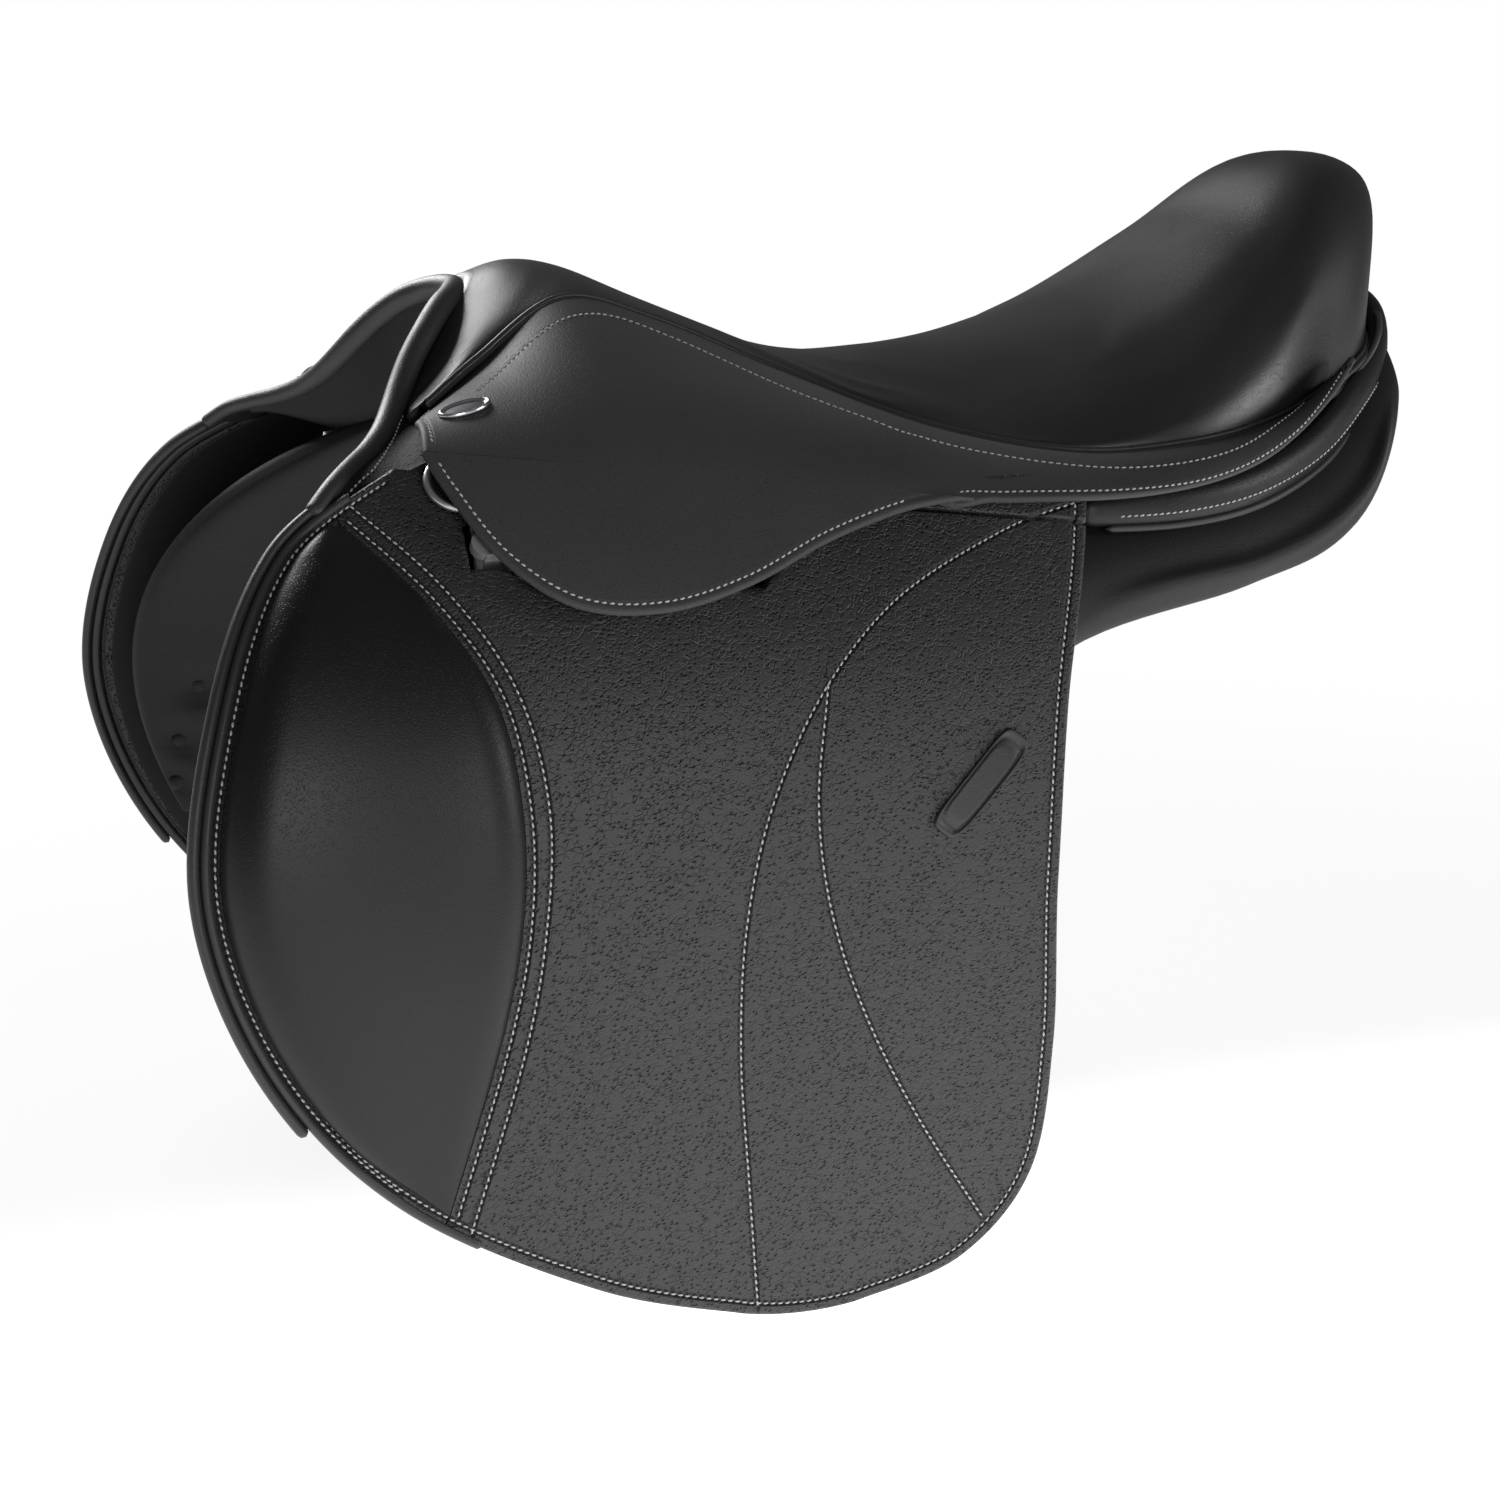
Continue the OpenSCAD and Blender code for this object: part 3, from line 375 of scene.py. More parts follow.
def round_ends(path, r):
    """Share of the full radius along a path whose ends are rounded off over the length r."""
    length = lengths(path)
    d = np.minimum(length, length[-1] - length)
    return np.sqrt(np.maximum(0.01, 1 - np.clip(1 - d / r, 0, 1) ** 2))


SKEW = np.array([0.31, 0.17, 0.93])


def roll(path, r, sides, ends=None):
    """Round tube along a path; a length given for its ends rounds them off."""
    t = run_of(path)
    a = unit(np.cross(t, SKEW))
    r = np.broadcast_to(r, len(path)) * (round_ends(path, ends) if ends else 1)
    return carried(path[:, None] + r[:, None, None] * oval(sides, a[:, None], np.cross(t, a)[:, None]))


def on_side_roll(line, profile, ends):
    """Profile of (behind, outward) distances carried along a line of places on the side, its ends rounded
    off."""
    p = flat(line)
    middle = profile.mean(0)
    profile = middle + round_ends(p, ends)[:, None, None] * (profile - middle)
    place = unflat(p[:, None] + profile[..., :1] * left_of(run_of(p))[:, None])
    return carried(laid(place, profile[..., 1]))


PITCH, SLANT = 3.1, 0.14
STITCH = np.array([2.2, 0.95, 0.75])


def stitch_row(path, out):
    """Middles, directions and outward directions of stitches at an even pitch along a path."""
    length = lengths(path)
    count = max(int(length[-1] / PITCH), 1)
    s = (np.arange(count) + 0.5) * length[-1] / count
    run = unit(at(length, path, s + 0.6) - at(length, path, s - 0.6))
    return at(length, path, s), run, unit(at(length, out, s))


def side_row(places, n):
    """Stitches along a line of places on the side, n outward."""
    p = flat(places)
    length = lengths(p)
    fine = unflat(at(length, p, np.linspace(0, length[-1], 400)))
    return stitch_row(laid(fine, n), side_out(fine[:, 1]))


def stitches(rows):
    """Thread: each stitch is three rings of six points between two tips, an ellipsoid flattened at both
    ends."""
    mid, run, out = (np.concatenate(part) for part in zip(*rows))
    across = np.cross(out, run)
    run, across = unit(run + SLANT * across), unit(across - SLANT * run)
    rings = [a * X + fat * oval(6, Y, Z) for a, fat in ((-0.72, 0.78), (0, 1), (0.72, 0.78))]
    local = np.concatenate([*rings, [(-1, 0, -0.5), (1, 0, -0.5)]]) * STITCH / 2
    points = mid[:, None] + local @ np.stack([run, across, out], 1)
    step = len(local) * np.arange(len(mid))[:, None, None]
    faces = grid_faces(3, 6, True), np.concatenate([fan(0, 6, 18)[:, ::-1], fan(12, 6, 19)])
    return Shape(points, [(f + step).reshape(-1, f.shape[1]) for f in faces]).outward()


def solid(name, shape):
    """Object with a mesh of a shape, in metres."""
    mesh = bpy.data.meshes.new(name)
    mesh.from_pydata((shape.points * MM).tolist(), [], [f for part in shape.faces for f in part.tolist()])
    made = bpy.data.objects.new(name, mesh)
    scene.collection.objects.link(made)
    return made


def put(name, shape, finish, body, nodes=(), sharp=None):
    """Makes a piece of a shape, and says what it rides on, what it replaces and which finish it takes."""
    piece = solid(name, shape)
    mesh = piece.data
    if shape.pattern is not None:
        corner = np.empty(len(mesh.loops), int)
        mesh.loops.foreach_get("vertex_index", corner)
        mesh.uv_layers.new(name="pattern").data.foreach_set("uv", (shape.pattern[corner] * MM).ravel())
    for key, value in shape.values.items():
        mesh.attributes.new(key, "FLOAT", "POINT").data.foreach_set("value", value)
    mesh.shade_smooth()
    if sharp:
        mesh.set_sharp_from_angle(angle=np.radians(sharp))
    mesh.materials.append(finish)
    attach(piece, body)
    if nodes:
        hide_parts(*nodes)
    return piece


def pair(name, shape, finish, body, nodes=(), sharp=None):
    """A piece on each side; a body or node that starts with side_ is that side's own."""
    made = []
    for side, s in (("left", shape), ("right", shape.mirrored())):
        own_body, *own = (n.replace("side_", side + "_", 1) for n in (body, *nodes))
        made.append(put(side + "_" + name, s, finish, own_body, own, sharp))
    return made


def take_out(pieces, shape):
    """Takes a shape out of the left piece of a pair, and its mirror image out of the right one."""
    for piece, s in zip(pieces, (shape, shape.mirrored())):
        tool = solid("tool", s)
        m = piece.modifiers.new("cut", "BOOLEAN")
        m.operation, m.solver, m.object = "DIFFERENCE", "EXACT", tool
        done = bpy.data.meshes.new_from_object(piece.evaluated_get(bpy.context.evaluated_depsgraph_get()))
        piece.modifiers.clear()
        piece.data = done
        bpy.data.objects.remove(tool)


PRESSURE, FRAMES = 4.0, 20


def places_of(mesh):
    """Points of a mesh."""
    co = np.empty(len(mesh.vertices) * 3)
    mesh.vertices.foreach_get("co", co)
    return co.reshape(-1, 3)


def puff(piece, sewn, cap):
    """Stuffs a padded piece: cloth with inner pressure and no gravity for some frames, held along its
    seams, and no point moves further than about cap millimetres from where the pattern put it."""
    mesh = piece.data
    before = places_of(mesh)
    held = piece.vertex_groups.new(name="sewn")
    held.add(np.flatnonzero(sewn).tolist(), 1.0, "REPLACE")
    cloth = piece.modifiers.new("puff", "CLOTH")
    s = cloth.settings
    s.quality, s.mass, s.vertex_group_mass = 4, 0.3, "sewn"
    s.use_pressure, s.uniform_pressure_force = True, PRESSURE
    s.effector_weights.gravity = 0
    s.tension_stiffness = s.compression_stiffness = 25
    s.shear_stiffness, s.bending_stiffness = 12, 3
    cloth.point_cache.frame_start, cloth.point_cache.frame_end = 1, FRAMES
    for f in range(1, FRAMES + 1):
        scene.frame_set(f)
    move = places_of(piece.evaluated_get(bpy.context.evaluated_depsgraph_get()).data) - before
    far = np.maximum(np.linalg.norm(move, axis=1, keepdims=True), 1e-9)
    limit = cap * MM
    moved = before + move / far * limit * np.tanh(far / limit)
    piece.modifiers.clear()
    piece.vertex_groups.clear()
    mesh.vertices.foreach_set("co", moved.ravel())
    mesh.update()
    scene.frame_set(1)


def sewn_rim(rows, cols, keep):
    """Points of a closed sheet that are sewn down: the whole of the lower grid and the rim of the upper
    one."""
    top = np.zeros((rows, cols), bool)
    top[:keep] = top[-keep:] = True
    top[:, :keep] = top[:, -keep:] = True
    return np.concatenate([top.ravel(), np.ones(rows * cols, bool)])


# Finishes


class Value:
    """A shader socket in a Python expression; each operator adds a Math node."""

    def __init__(self, finish, socket):
        self.finish, self.socket = finish, socket

    def math(self, operation, *others):
        return self.finish.node("Math", {"operation": operation}, dict(enumerate((self,) + others)))

    def __add__(self, o):
        return self.math("ADD", o)

    def __sub__(self, o):
        return self.math("SUBTRACT", o)

    def __mul__(self, o):
        return self.math("MULTIPLY", o)

    def __rsub__(self, o):
        return self.finish.node("Math", {"operation": "SUBTRACT"}, {0: o, 1: self})

    __radd__, __rmul__ = __add__, __mul__

    def step(self, a, b):
        """0 below a, 1 above b, smooth between."""
        return self.finish.node("MapRange", {"interpolation_type": "SMOOTHSTEP"},
                                {"Value": self, "From Min": a, "From Max": b})

    def bell(self, width):
        """1 at 0, falling off over the width on both sides."""
        return self.math("ABSOLUTE").step(width, 0.0)


class Finish:
    """A material: its nodes, and the sockets of its shader."""

    def __init__(self, name, **fixed):
        self.material = bpy.data.materials.new(name)
        self.material.use_nodes = True
        self.tree = self.material.node_tree
        self.shader = self.tree.nodes["Principled BSDF"]
        self.set(fixed)

    def set(self, values):
        """Feeds the shader's sockets, named in small letters with underscores."""
        for key, value in values.items():
            self.feed(self.shader.inputs[key.replace("_", " ").title().replace("Ior", "IOR")], value)

    def node(self, kind, settings=None, sockets=None, out=0):
        """Adds a node, sets it up, feeds its sockets and gives its output."""
        n = self.tree.nodes.new("ShaderNode" + kind)
        for key, value in (settings or {}).items():
            setattr(n, key, value)
        for key, value in (sockets or {}).items():
            self.feed(n.inputs[key], value)
        return Value(self, n.outputs[out])

    def feed(self, socket, value):
        """Links a value to a socket, or sets it there."""
        if isinstance(value, Value):
            self.tree.links.new(value.socket, socket)
        else:
            socket.default_value = value

    def place(self, scale, turn=(0, 0, 0)):
        """Object coordinates turned and scaled, in cells of the pattern."""
        c = self.node("TexCoord", out="Object")
        turned = self.node("Mapping", {"vector_type": "TEXTURE"}, {"Vector": c, "Rotation": turn})
        return self.node("Mapping", {}, {"Vector": turned, "Scale": scale})

    def noise(self, place, scale, detail, out=0):
        return self.node("TexNoise", {}, {"Vector": place, "Scale": scale, "Detail": detail}, out)

    def grain(self, x, y, z, detail):
        """Noise with so many cells to the metre each way."""
        return self.noise(self.place((x, y, z)), 1.0, detail)

    def attribute(self, name):
        return self.node("Attribute", {"attribute_name": name}, out="Fac")

    def blend(self, factor, a, b):
        """Colour mix."""
        return self.node("Mix", {"data_type": "RGBA"}, {0: factor, 6: a, 7: b}, out=2)

    def finish(self, colour, roughness, height=None, strength=0.0, distance=0.0, **others):
        """Feeds what varies over the surface to the shader, height as a bump."""
        self.set({"base_color": colour, "roughness": roughness, **others})
        if height is not None:
            self.set({"normal": self.node("Bump", {}, {
                "Strength": strength, "Distance": distance, "Height": height})})
        return self.material


def tint(colour, share=1.0, more=0.0):
    """Colour scaled and raised, with no transparency."""
    return (*(share * c + more for c in colour), 1)


RISE = (0, np.radians(-17), 0)
WORN = 0.012


def leather(name, colour, rough, cell, crease, depth, strength, seams=(), turn=RISE, coat=0.0, step=None,
            contrast=0.25, shine=0.5):
    """Grained leather: cells of a given size with creases between them and pits in them, drawn out one
    way, over a broad unevenness. Seams are attributes with the distance from a stitched line, which is
    drawn in; step is one that lifts the leather past a line; edges are rubbed a little paler."""
    f = Finish(name, coat_roughness=0.35, specular_ior_level=shine)
    p = f.place([1000 / c for c in cell], turn)
    wander = f.noise(p, 0.55, 1.0)
    shifted = f.node("VectorMath", {"operation": "MULTIPLY_ADD"},
                     {0: f.noise(p, 0.6, 1.0, "Color"), 1: (0.5, 0.5, 0.5), 2: p})
    cells = f.node("TexVoronoi", {"feature": "DISTANCE_TO_EDGE"}, {"Vector": shifted, "Scale": 1.0},
                   "Distance")
    spots = f.node("TexVoronoi", {"feature": "F1"}, {"Vector": shifted, "Scale": 1.35}, "Distance")
    fine = f.noise(p, 3.1, 2.0)
    broad = f.grain(14, 14, 14, 3.0)
    pits = spots.step(0.36, 0.14) * (0.5 + 0.7 * wander)
    pebble = 1 - 0.25 * (1 - cells.step(0.0, crease)) * wander.step(0.32, 0.6)
    height = pebble - pits + fine * 0.25
    drawn = None
    for s in seams:
        groove = f.attribute(s).bell(1.7)
        drawn = groove if drawn is None else drawn.math("MAXIMUM", groove)
    if drawn is not None:
        height = height * (1 - 0.6 * drawn) - drawn * 1.6
    if step:
        height = height + f.attribute(step).step(-0.5, 0.5) * 2.8
    edge = f.attribute("edge").step(2.6, 0.4)
    tone = broad * 0.5 + (pebble - pits) * 0.35 + fine * 0.15
    shade = f.blend(tone.step(0.2, 0.8), tint(colour, 1 - contrast), tint(colour, 1 + contrast))
    shade = f.blend(edge * 0.6, shade, tint(colour, more=WORN))
    dull = rough + 0.16 * (broad - 0.5) + 0.1 * (1 - pebble) + edge * 0.06
    gloss = {"coat_weight": coat * (0.6 + 0.8 * broad)} if coat else {}
    return f.finish(shade, dull, height, strength, depth, **gloss)


def thread_finish():
    """Waxed thread: pale grey with a twist along each stitch."""
    f = Finish("pale_thread")
    p = f.place((1, 1, 1))
    twist = f.node("TexWave", {"wave_type": "BANDS", "bands_direction": "DIAGONAL"},
                   {"Vector": p, "Scale": 900.0, "Distortion": 1.5})
    soil = f.noise(p, 60.0, 2.0)
    colour = f.blend(twist * 0.35 + soil * 0.5, (0.58, 0.57, 0.55, 1), (0.34, 0.335, 0.325, 1))
    return f.finish(colour, 0.62 + 0.15 * soil, twist, 0.3, 0.0002)


def steel_finish(name, colour, rough):
    """Forged steel, polished: fine draw marks one way and a few dull patches."""
    f = Finish(name, metallic=1.0)
    marks = f.grain(40, 900, 900, 3.0)
    dull = f.grain(90, 90, 90, 2.0)
    shade = f.blend(dull.step(0.3, 0.75), tint(colour), tint(colour, 0.72))
    return f.finish(shade, rough + 0.18 * marks * dull + 0.06 * dull, marks, 0.12, 0.0001)


def badge_finish():
    """Bare oval stud: bright rim and hollow dark face, told apart by the rim attribute."""
    f = Finish("stud_steel", metallic=1.0)
    rim = f.attribute("rim")
    brush = f.grain(60, 60, 1200, 2.0)
    shade = f.blend(rim, (0.05, 0.05, 0.055, 1), (0.62, 0.62, 0.64, 1))
    return f.finish(shade, 0.34 - 0.16 * rim + 0.14 * brush, brush, 0.1, 0.0001)


def wood_finish():
    """Laminated beech: thin plies in layers, with long grain and small flecks."""
    f = Finish("laminated_beech", coat_weight=0.1)
    ply = f.node("TexWave", {"wave_type": "BANDS", "bands_direction": "Z"},
                 {"Vector": f.place((1, 1, 1)), "Scale": 120.0, "Distortion": 1.2})
    grain = f.grain(12, 220, 220, 4.0)
    fleck = f.grain(160, 900, 900, 1.0).step(0.62, 0.75)
    shade = f.blend(grain.step(0.3, 0.7), (0.58, 0.4, 0.23, 1), (0.42, 0.26, 0.13, 1))
    shade = f.blend(ply * 0.25 + fleck * 0.3, shade, (0.3, 0.18, 0.09, 1))
    return f.finish(shade, 0.5 + 0.15 * grain, grain + fleck * 0.4, 0.3, 0.0003)


def web_finish():
    """Woven webbing: ribs across and a finer weave along, read from the flat pattern."""
    f = Finish("linen_web")
    uv = f.node("UVMap", {"uv_map": "pattern"})
    across, down = (f.node("SeparateXYZ", {}, {"Vector": uv}, k) for k in (0, 1))
    warp = (across * 3800.0).math("SINE") * 0.5 + 0.5
    weft = (down * 2600.0).math("SINE") * 0.5 + 0.5
    over = (warp - weft).math("ABSOLUTE")
    soil = f.grain(30, 30, 30, 3.0)
    shade = f.blend(over * 0.5 + soil * 0.4, (0.66, 0.63, 0.54, 1), (0.4, 0.37, 0.3, 1))
    return f.finish(shade, 0.85 + 0.1 * soil, over, 0.5, 0.0004)


FLAP_SEAMS = ("seam_edge", "seam_a", "seam_b", "seam_k1", "seam_k2", "seam_roll")
flap_leather = leather("pebbled_leather", (0.02, 0.02, 0.0212), 0.46, (3.2, 2.8, 2.6), 0.14, 0.0009, 1.0,
                       FLAP_SEAMS, step="knee_line", contrast=0.4)
pad_leather = leather("knee_leather", (0.0065, 0.0065, 0.007), 0.4, (1.8, 1.5, 1.2), 0.15, 0.0003, 0.3,
                      shine=0.35)
seat_leather = leather("satin_leather", (0.0175, 0.0175, 0.0185), 0.36, (1.5, 1.3, 1.2), 0.14, 0.0002, 0.28,
                       coat=0.1)
skirt_leather = leather("skirt_leather", (0.043, 0.043, 0.0446), 0.56, (1.9, 1.7, 1.4), 0.15, 0.0003, 0.35,
                        ("seam",), shine=0.28)
roll_leather = leather("roll_leather", (0.02, 0.02, 0.021), 0.42, (1.9, 1.7, 1.4), 0.15, 0.0003, 0.35)
lining_leather = leather("lining_leather", (0.0095, 0.0095, 0.0102), 0.58, (2.2, 1.9, 1.7), 0.18, 0.0004,
                         0.3, shine=0.26)
strap_leather = leather("strap_leather", (0.019, 0.018, 0.0175), 0.46, (2.4, 2.0, 1.2), 0.2, 0.0003, 0.35,
                        turn=(0, 0.4, 0), shine=0.25)
# The front web's leather is darker than the flap leather it stands for: painted shade of the recess between
# the roll and the skirt.
web_leather_painted_shade = leather("matt_leather_painted_shade", (0.011, 0.011, 0.0116), 0.72, (3.2, 2.8, 2.6), 0.14, 0.0006, 0.5,
                      shine=0.12)
thread = thread_finish()
steel = steel_finish("forged_steel", (0.72, 0.72, 0.73), 0.28)
bar_steel = steel_finish("bar_steel", (0.85, 0.85, 0.86), 0.45)
stud_steel = badge_finish()
beech = wood_finish()
linen = web_finish()

# Camera and light, at the photograph's view: its turn and rise, then its distance, the shift of the part's
# middle in it, and the photo's pixels to the millimetre

TURN_ANGLE, RAISE = np.radians(18.8), np.radians(14)
REACH, SHIFT_X, SHIFT_Y, SCALE = 1250.0, 45.86, 69.29, 2.13
PHOTO, SENSOR = 1500, 36.0


def stand(o, right, up, back, place):
    """Puts a camera or lamp at a place in metres, with its axes turned to three directions."""
    rows = zip(np.stack([right, up, back], 1), place)
    o.matrix_world = Matrix([[*row, p] for row, p in rows] + [[0, 0, 0, 1]])
    scene.collection.objects.link(o)


right = np.array([np.cos(TURN_ANGLE), -np.sin(TURN_ANGLE), 0])
upward = np.array([np.sin(TURN_ANGLE) * np.sin(RAISE), np.cos(TURN_ANGLE) * np.sin(RAISE), np.cos(RAISE)])
backward = np.cross(right, upward)
camera = bpy.data.objects.new("camera", bpy.data.cameras.new("camera"))
camera.data.sensor_fit, camera.data.sensor_width = "HORIZONTAL", SENSOR
camera.data.lens = SCALE * REACH / PHOTO * SENSOR
camera.data.clip_start = 0.01
stand(camera, right, upward, backward, (REACH * backward - SHIFT_X * right - SHIFT_Y * upward) * MM)
scene.camera = camera


def lamp(name, place, aim, size, power):
    """Soft box: a square area light at a place, turned to an aim."""
    data = bpy.data.lights.new(name, "AREA")
    data.energy, data.size = power, size
    back = unit(np.subtract(place, aim))
    side = unit(np.cross(Z, back))
    stand(bpy.data.objects.new(name, data), side, np.cross(back, side), back, place)


lamp("front_box", (0.0, -1.8, 0.3), (-0.1, -0.2, -0.05), 0.6, 7)
lamp("rim_box", (-0.65, 1.4, 1.1), (0, 0, 0.05), 0.8, 34)
lamp("rear_box", (1.5, -0.95, 0.35), (0.15, -0.05, 0.1), 0.4, 7)
world = bpy.data.worlds.new("studio")
scene.world = world
world.use_nodes = True
tree = world.node_tree
tree.nodes.clear()
seen, either, surface, room, white = (tree.nodes.new("ShaderNode" + kind) for kind in (
    "LightPath", "MixShader", "OutputWorld", "Background", "Background"))
for light, strength in ((room, 0.09), (white, 1.0)):
    light.inputs["Color"].default_value, light.inputs["Strength"].default_value = (1, 1, 1, 1), strength
for start, end in ((seen.outputs["Is Camera Ray"], either.inputs[0]), (room.outputs[0], either.inputs[1]),
                   (white.outputs[0], either.inputs[2]), (either.outputs[0], surface.inputs[0])):
    tree.links.new(start, end)
scene.view_settings.view_transform = "Standard"
scene.view_settings.look = "None"

FLOOR_Z, FLOOR_R, FLOOR_RINGS, FLOOR_SIDES = -262.0, 4000.0, 24, 96


def floor():
    """Round pale floor: rings of points whose radius grows with the square of the step. It glows: emission
    is mixed in everywhere so that it runs into the white behind it, and ahead of the flap the glow is
    brighter still, painted light that falls on the flap and is reflected in it."""
    r = FLOOR_R * np.linspace(0.02, 1, FLOOR_RINGS) ** 2
    p = r[:, None, None] * oval(FLOOR_SIDES, X, Y) + FLOOR_Z * Z
    faces = [grid_faces(FLOOR_RINGS, FLOOR_SIDES, True)[:, ::-1],
             fan(0, FLOOR_SIDES, FLOOR_RINGS * FLOOR_SIDES)]
    o = solid("floor", Shape(np.concatenate([p.reshape(-1, 3), [FLOOR_Z * Z]]), faces))
    f = Finish("pale_floor", specular_ior_level=0.2)
    speck = f.grain(6, 6, 6, 3.0)
    f.finish(f.blend(speck, (0.9, 0.9, 0.9, 1), (0.86, 0.86, 0.86, 1)), 0.75 + 0.1 * speck)
    c = f.node("TexCoord", out="Object")
    x, y = (f.node("SeparateXYZ", {}, {"Vector": c}, k) for k in "XY")
    # Painted light: the floor glows brighter ahead of the flap, to light the flap and show in it as a
    # reflection.
    glow_ahead = y.step(0.05, -0.25) * (0.4 + 0.6 * x.step(-0.5, 0.05))
    far = f.node("VectorMath", {"operation": "LENGTH"}, {0: c}, "Value").step(0.5, 1.2)
    glow = f.node("Emission", {}, {"Color": f.blend(glow_ahead * (1 - far), (1, 1, 1, 1), (2.3, 2.3, 2.3, 1))})
    both = f.node("MixShader", {}, {0: 0.88 + 0.12 * far, 1: Value(f, f.shader.outputs[0]), 2: glow})
    f.feed(f.tree.nodes["Material Output"].inputs["Surface"], both)
    o.data.materials.append(f.material)


floor()

# Flaps

FOLD_X, FLAP_TAIL, FOLD_GAP, STRIP_FRONT = -242.0, 42.0, 0.35, -34.0
FLAP_FRONT = [(-242, 91), (-289, 64), (-317, 14), (-329, -54), (-307, -124), (-259, -182), (-183, -227),
              (-124, -246)]
FLAP_REAR = [(42, 58.5), (20, -3), (12, -75), (11, -145), (2, -201), (-29, -235), (-75, -248)]
ROLL_END, ROLL_ROW, KNEE_ROOM, EDGE_ROW = 0.62, 4.4, 3.4, 5.6
LINE_A = [(40, 67), (3, 58), (-49, 36), (-86, 4), (-110, -36), (-122, -82), (-125, -133), (-122, -185),
          (-118, -243)]
LINE_B = [(-83, 8), (-91, -35), (-87, -79), (-72, -125), (-49, -171), (-20, -218)]
LINE_K1 = [(-262, 74), (-234, 46), (-213, 12), (-206, -30), (-208, -74), (-218, -120), (-240, -187)]
LINE_K2 = [(-260, 79), (-230, 50), (-208, 15), (-199, -29), (-202, -75), (-212, -124), (-235, -195)]
TOP_REAR = (50.0, 78.0)
NOTCH = [(-204, 112), (-204, 76), (-218, 71), (-218, 55.5), (-207, 55.5), (-203, 54.5), (-196, 49.5),
         (-190, 47), (-102, 44), (-96, 50), (-96, 112)]
NOTCH_FRONT, NOTCH_REAR = NOTCH[0][0], NOTCH[-1][0]


def fold_z(x):
    """Fold line of flap and skirt."""
    return mix(92, 60, (x - FOLD_X) / (FLAP_TAIL - FOLD_X))


def behind_roll(t, d):
    """Place d behind the flap's front line, square to it in the flat pattern."""
    run = unit(flat(curve(FLAP_FRONT, t + 0.004)) - flat(curve(FLAP_FRONT, t - 0.004)))
    d = np.broadcast_to(d, np.shape(t))[..., None]
    return unflat(flat(curve(FLAP_FRONT, t)) + d * left_of(run))


def flap_place(s, t):
    """Between the front line, which lies beside the roll as far as that goes, and the rear line, with the
    lower edge sagging as a parabola."""
    beside = 0.6 * (1 - smooth(ROLL_END, ROLL_END + 0.08, t))
    p = mix(behind_roll(t, beside), curve(FLAP_REAR, t), s[..., None])
    return p - np.stack([0 * s, 9 * s * (1 - s) * t ** 3], -1)


def knee_rear(t):
    """Rear line of the knee pad, just ahead of the stitches behind it."""
    fine = even(200)
    return at(fine, inset(curve(LINE_K1, fine), -KNEE_ROOM), t)


def flap_lines():
    """Stitched lines of the flap: round its edge, across its middle, behind the knee pad and beside the
    roll."""
    fine = even(160)
    s = np.concatenate([np.zeros(200), even(80)[1:], np.ones(200)])
    t = np.concatenate([even(200), np.ones(79), even(200)[::-1]])
    tail = mix(curve(FLAP_REAR, 0.0), np.array(TOP_REAR), fine[1::9, None])
    rim = np.concatenate([flap_place(s, t), tail])
    rim = rim[np.linalg.norm(np.diff(rim, axis=0, prepend=rim[:1] - 1), axis=1) > 0.02]
    edge = inset(rim, EDGE_ROW)
    edge = edge[(edge[:, 1] < -140) | (edge[:, 0] > -60)]
    inner = [curve(line, fine) for line in (LINE_A, LINE_B, LINE_K1, LINE_K2)]
    return dict(zip(FLAP_SEAMS, [edge, *inner, behind_roll(np.linspace(0.02, 0.7, 160), ROLL_ROW)]))


FLAP_LINES = flap_lines()


def flap_sheet(place, cut):
    """Pebbled leather, with its distance from each stitched line and from the knee pad's rear line at its
    points."""
    knee = np.concatenate([[(-270, 92)], knee_rear(even(120)), [(-262, -230)]])
    near = {key: signed(flat(place), line) for key, line in (*FLAP_LINES.items(), ("knee_line", knee))}
    return side_sheet(place, 0, FLAP_T, cut, **near)


def flap():
    """Sheet over the flap's places, left uncut along the fold line."""
    t, s = grid(rim_steps(120, 330), rim_steps(120, 300))
    return flap_sheet(flap_place(s, t), [FIRST_COL, LAST_ROW, LAST_COL])


def flap_top():
    """Fixed strip of the same leather from the fold line up under the skirt's tail: straight between its
    corners."""
    a, b = grid(rim_steps(60, 80, low=False), even(14))
    z = mix(fold_z(mix(STRIP_FRONT, FLAP_TAIL, a)) + FOLD_GAP, TOP_REAR[1], b)
    low = FLAP_REAR[0][1]
    rear = mix(FLAP_TAIL, TOP_REAR[0], (z - low) / (TOP_REAR[1] - low))
    return flap_sheet(np.stack([mix(STRIP_FRONT, rear, a), z], -1), [LAST_ROW])


def flap_lining():
    """Smooth lining on the flap's inner face, a little inside its edge."""
    t, s = grid(rim_steps(60, 310) * 0.94 + 0.035, rim_steps(60, 280) * 0.95 + 0.025)
    return side_sheet(flap_place(s, t), -2.35, 0.6)


def flap_stitching(above):
    """Rows of stitches on the flap's face, below the fold line or above it."""
    rows = []
    for line in FLAP_LINES.values():
        over = line[:, 1] - fold_z(line[:, 0])
        part = line[over > 1.2] if above else line[over < -1.2]
        if len(part) > 3 and not (above and part[0, 0] < -60):
            rows.append(side_row(part, FLAP_OUT + 0.12))
    return stitches(rows)


notch = carried(np.stack([np.insert(np.array(NOTCH), 1, y, axis=1) for y in (-60, -240)]))
take_out(pair("flap_sheet", flap(), flap_leather, "side_flap", ["side_flap"]), notch)
take_out(pair("flap_lining", flap_lining(), lining_leather, "side_flap"), notch)
pair("flap_top", flap_top(), flap_leather, "saddle")
pair("flap_stitching", flap_stitching(False), thread, "side_flap")
pair("flap_top_stitching", flap_stitching(True), thread, "saddle")


def flap_roll():
    """Covered roll along the front edge: an oval carried down just ahead of the front line."""
    line = curve(FLAP_FRONT, np.linspace(0.09, ROLL_END, 200))
    return on_side_roll(line, oval(20, (2.35, 0), (0, 3.3)) - (3.2, 0), 3.0)


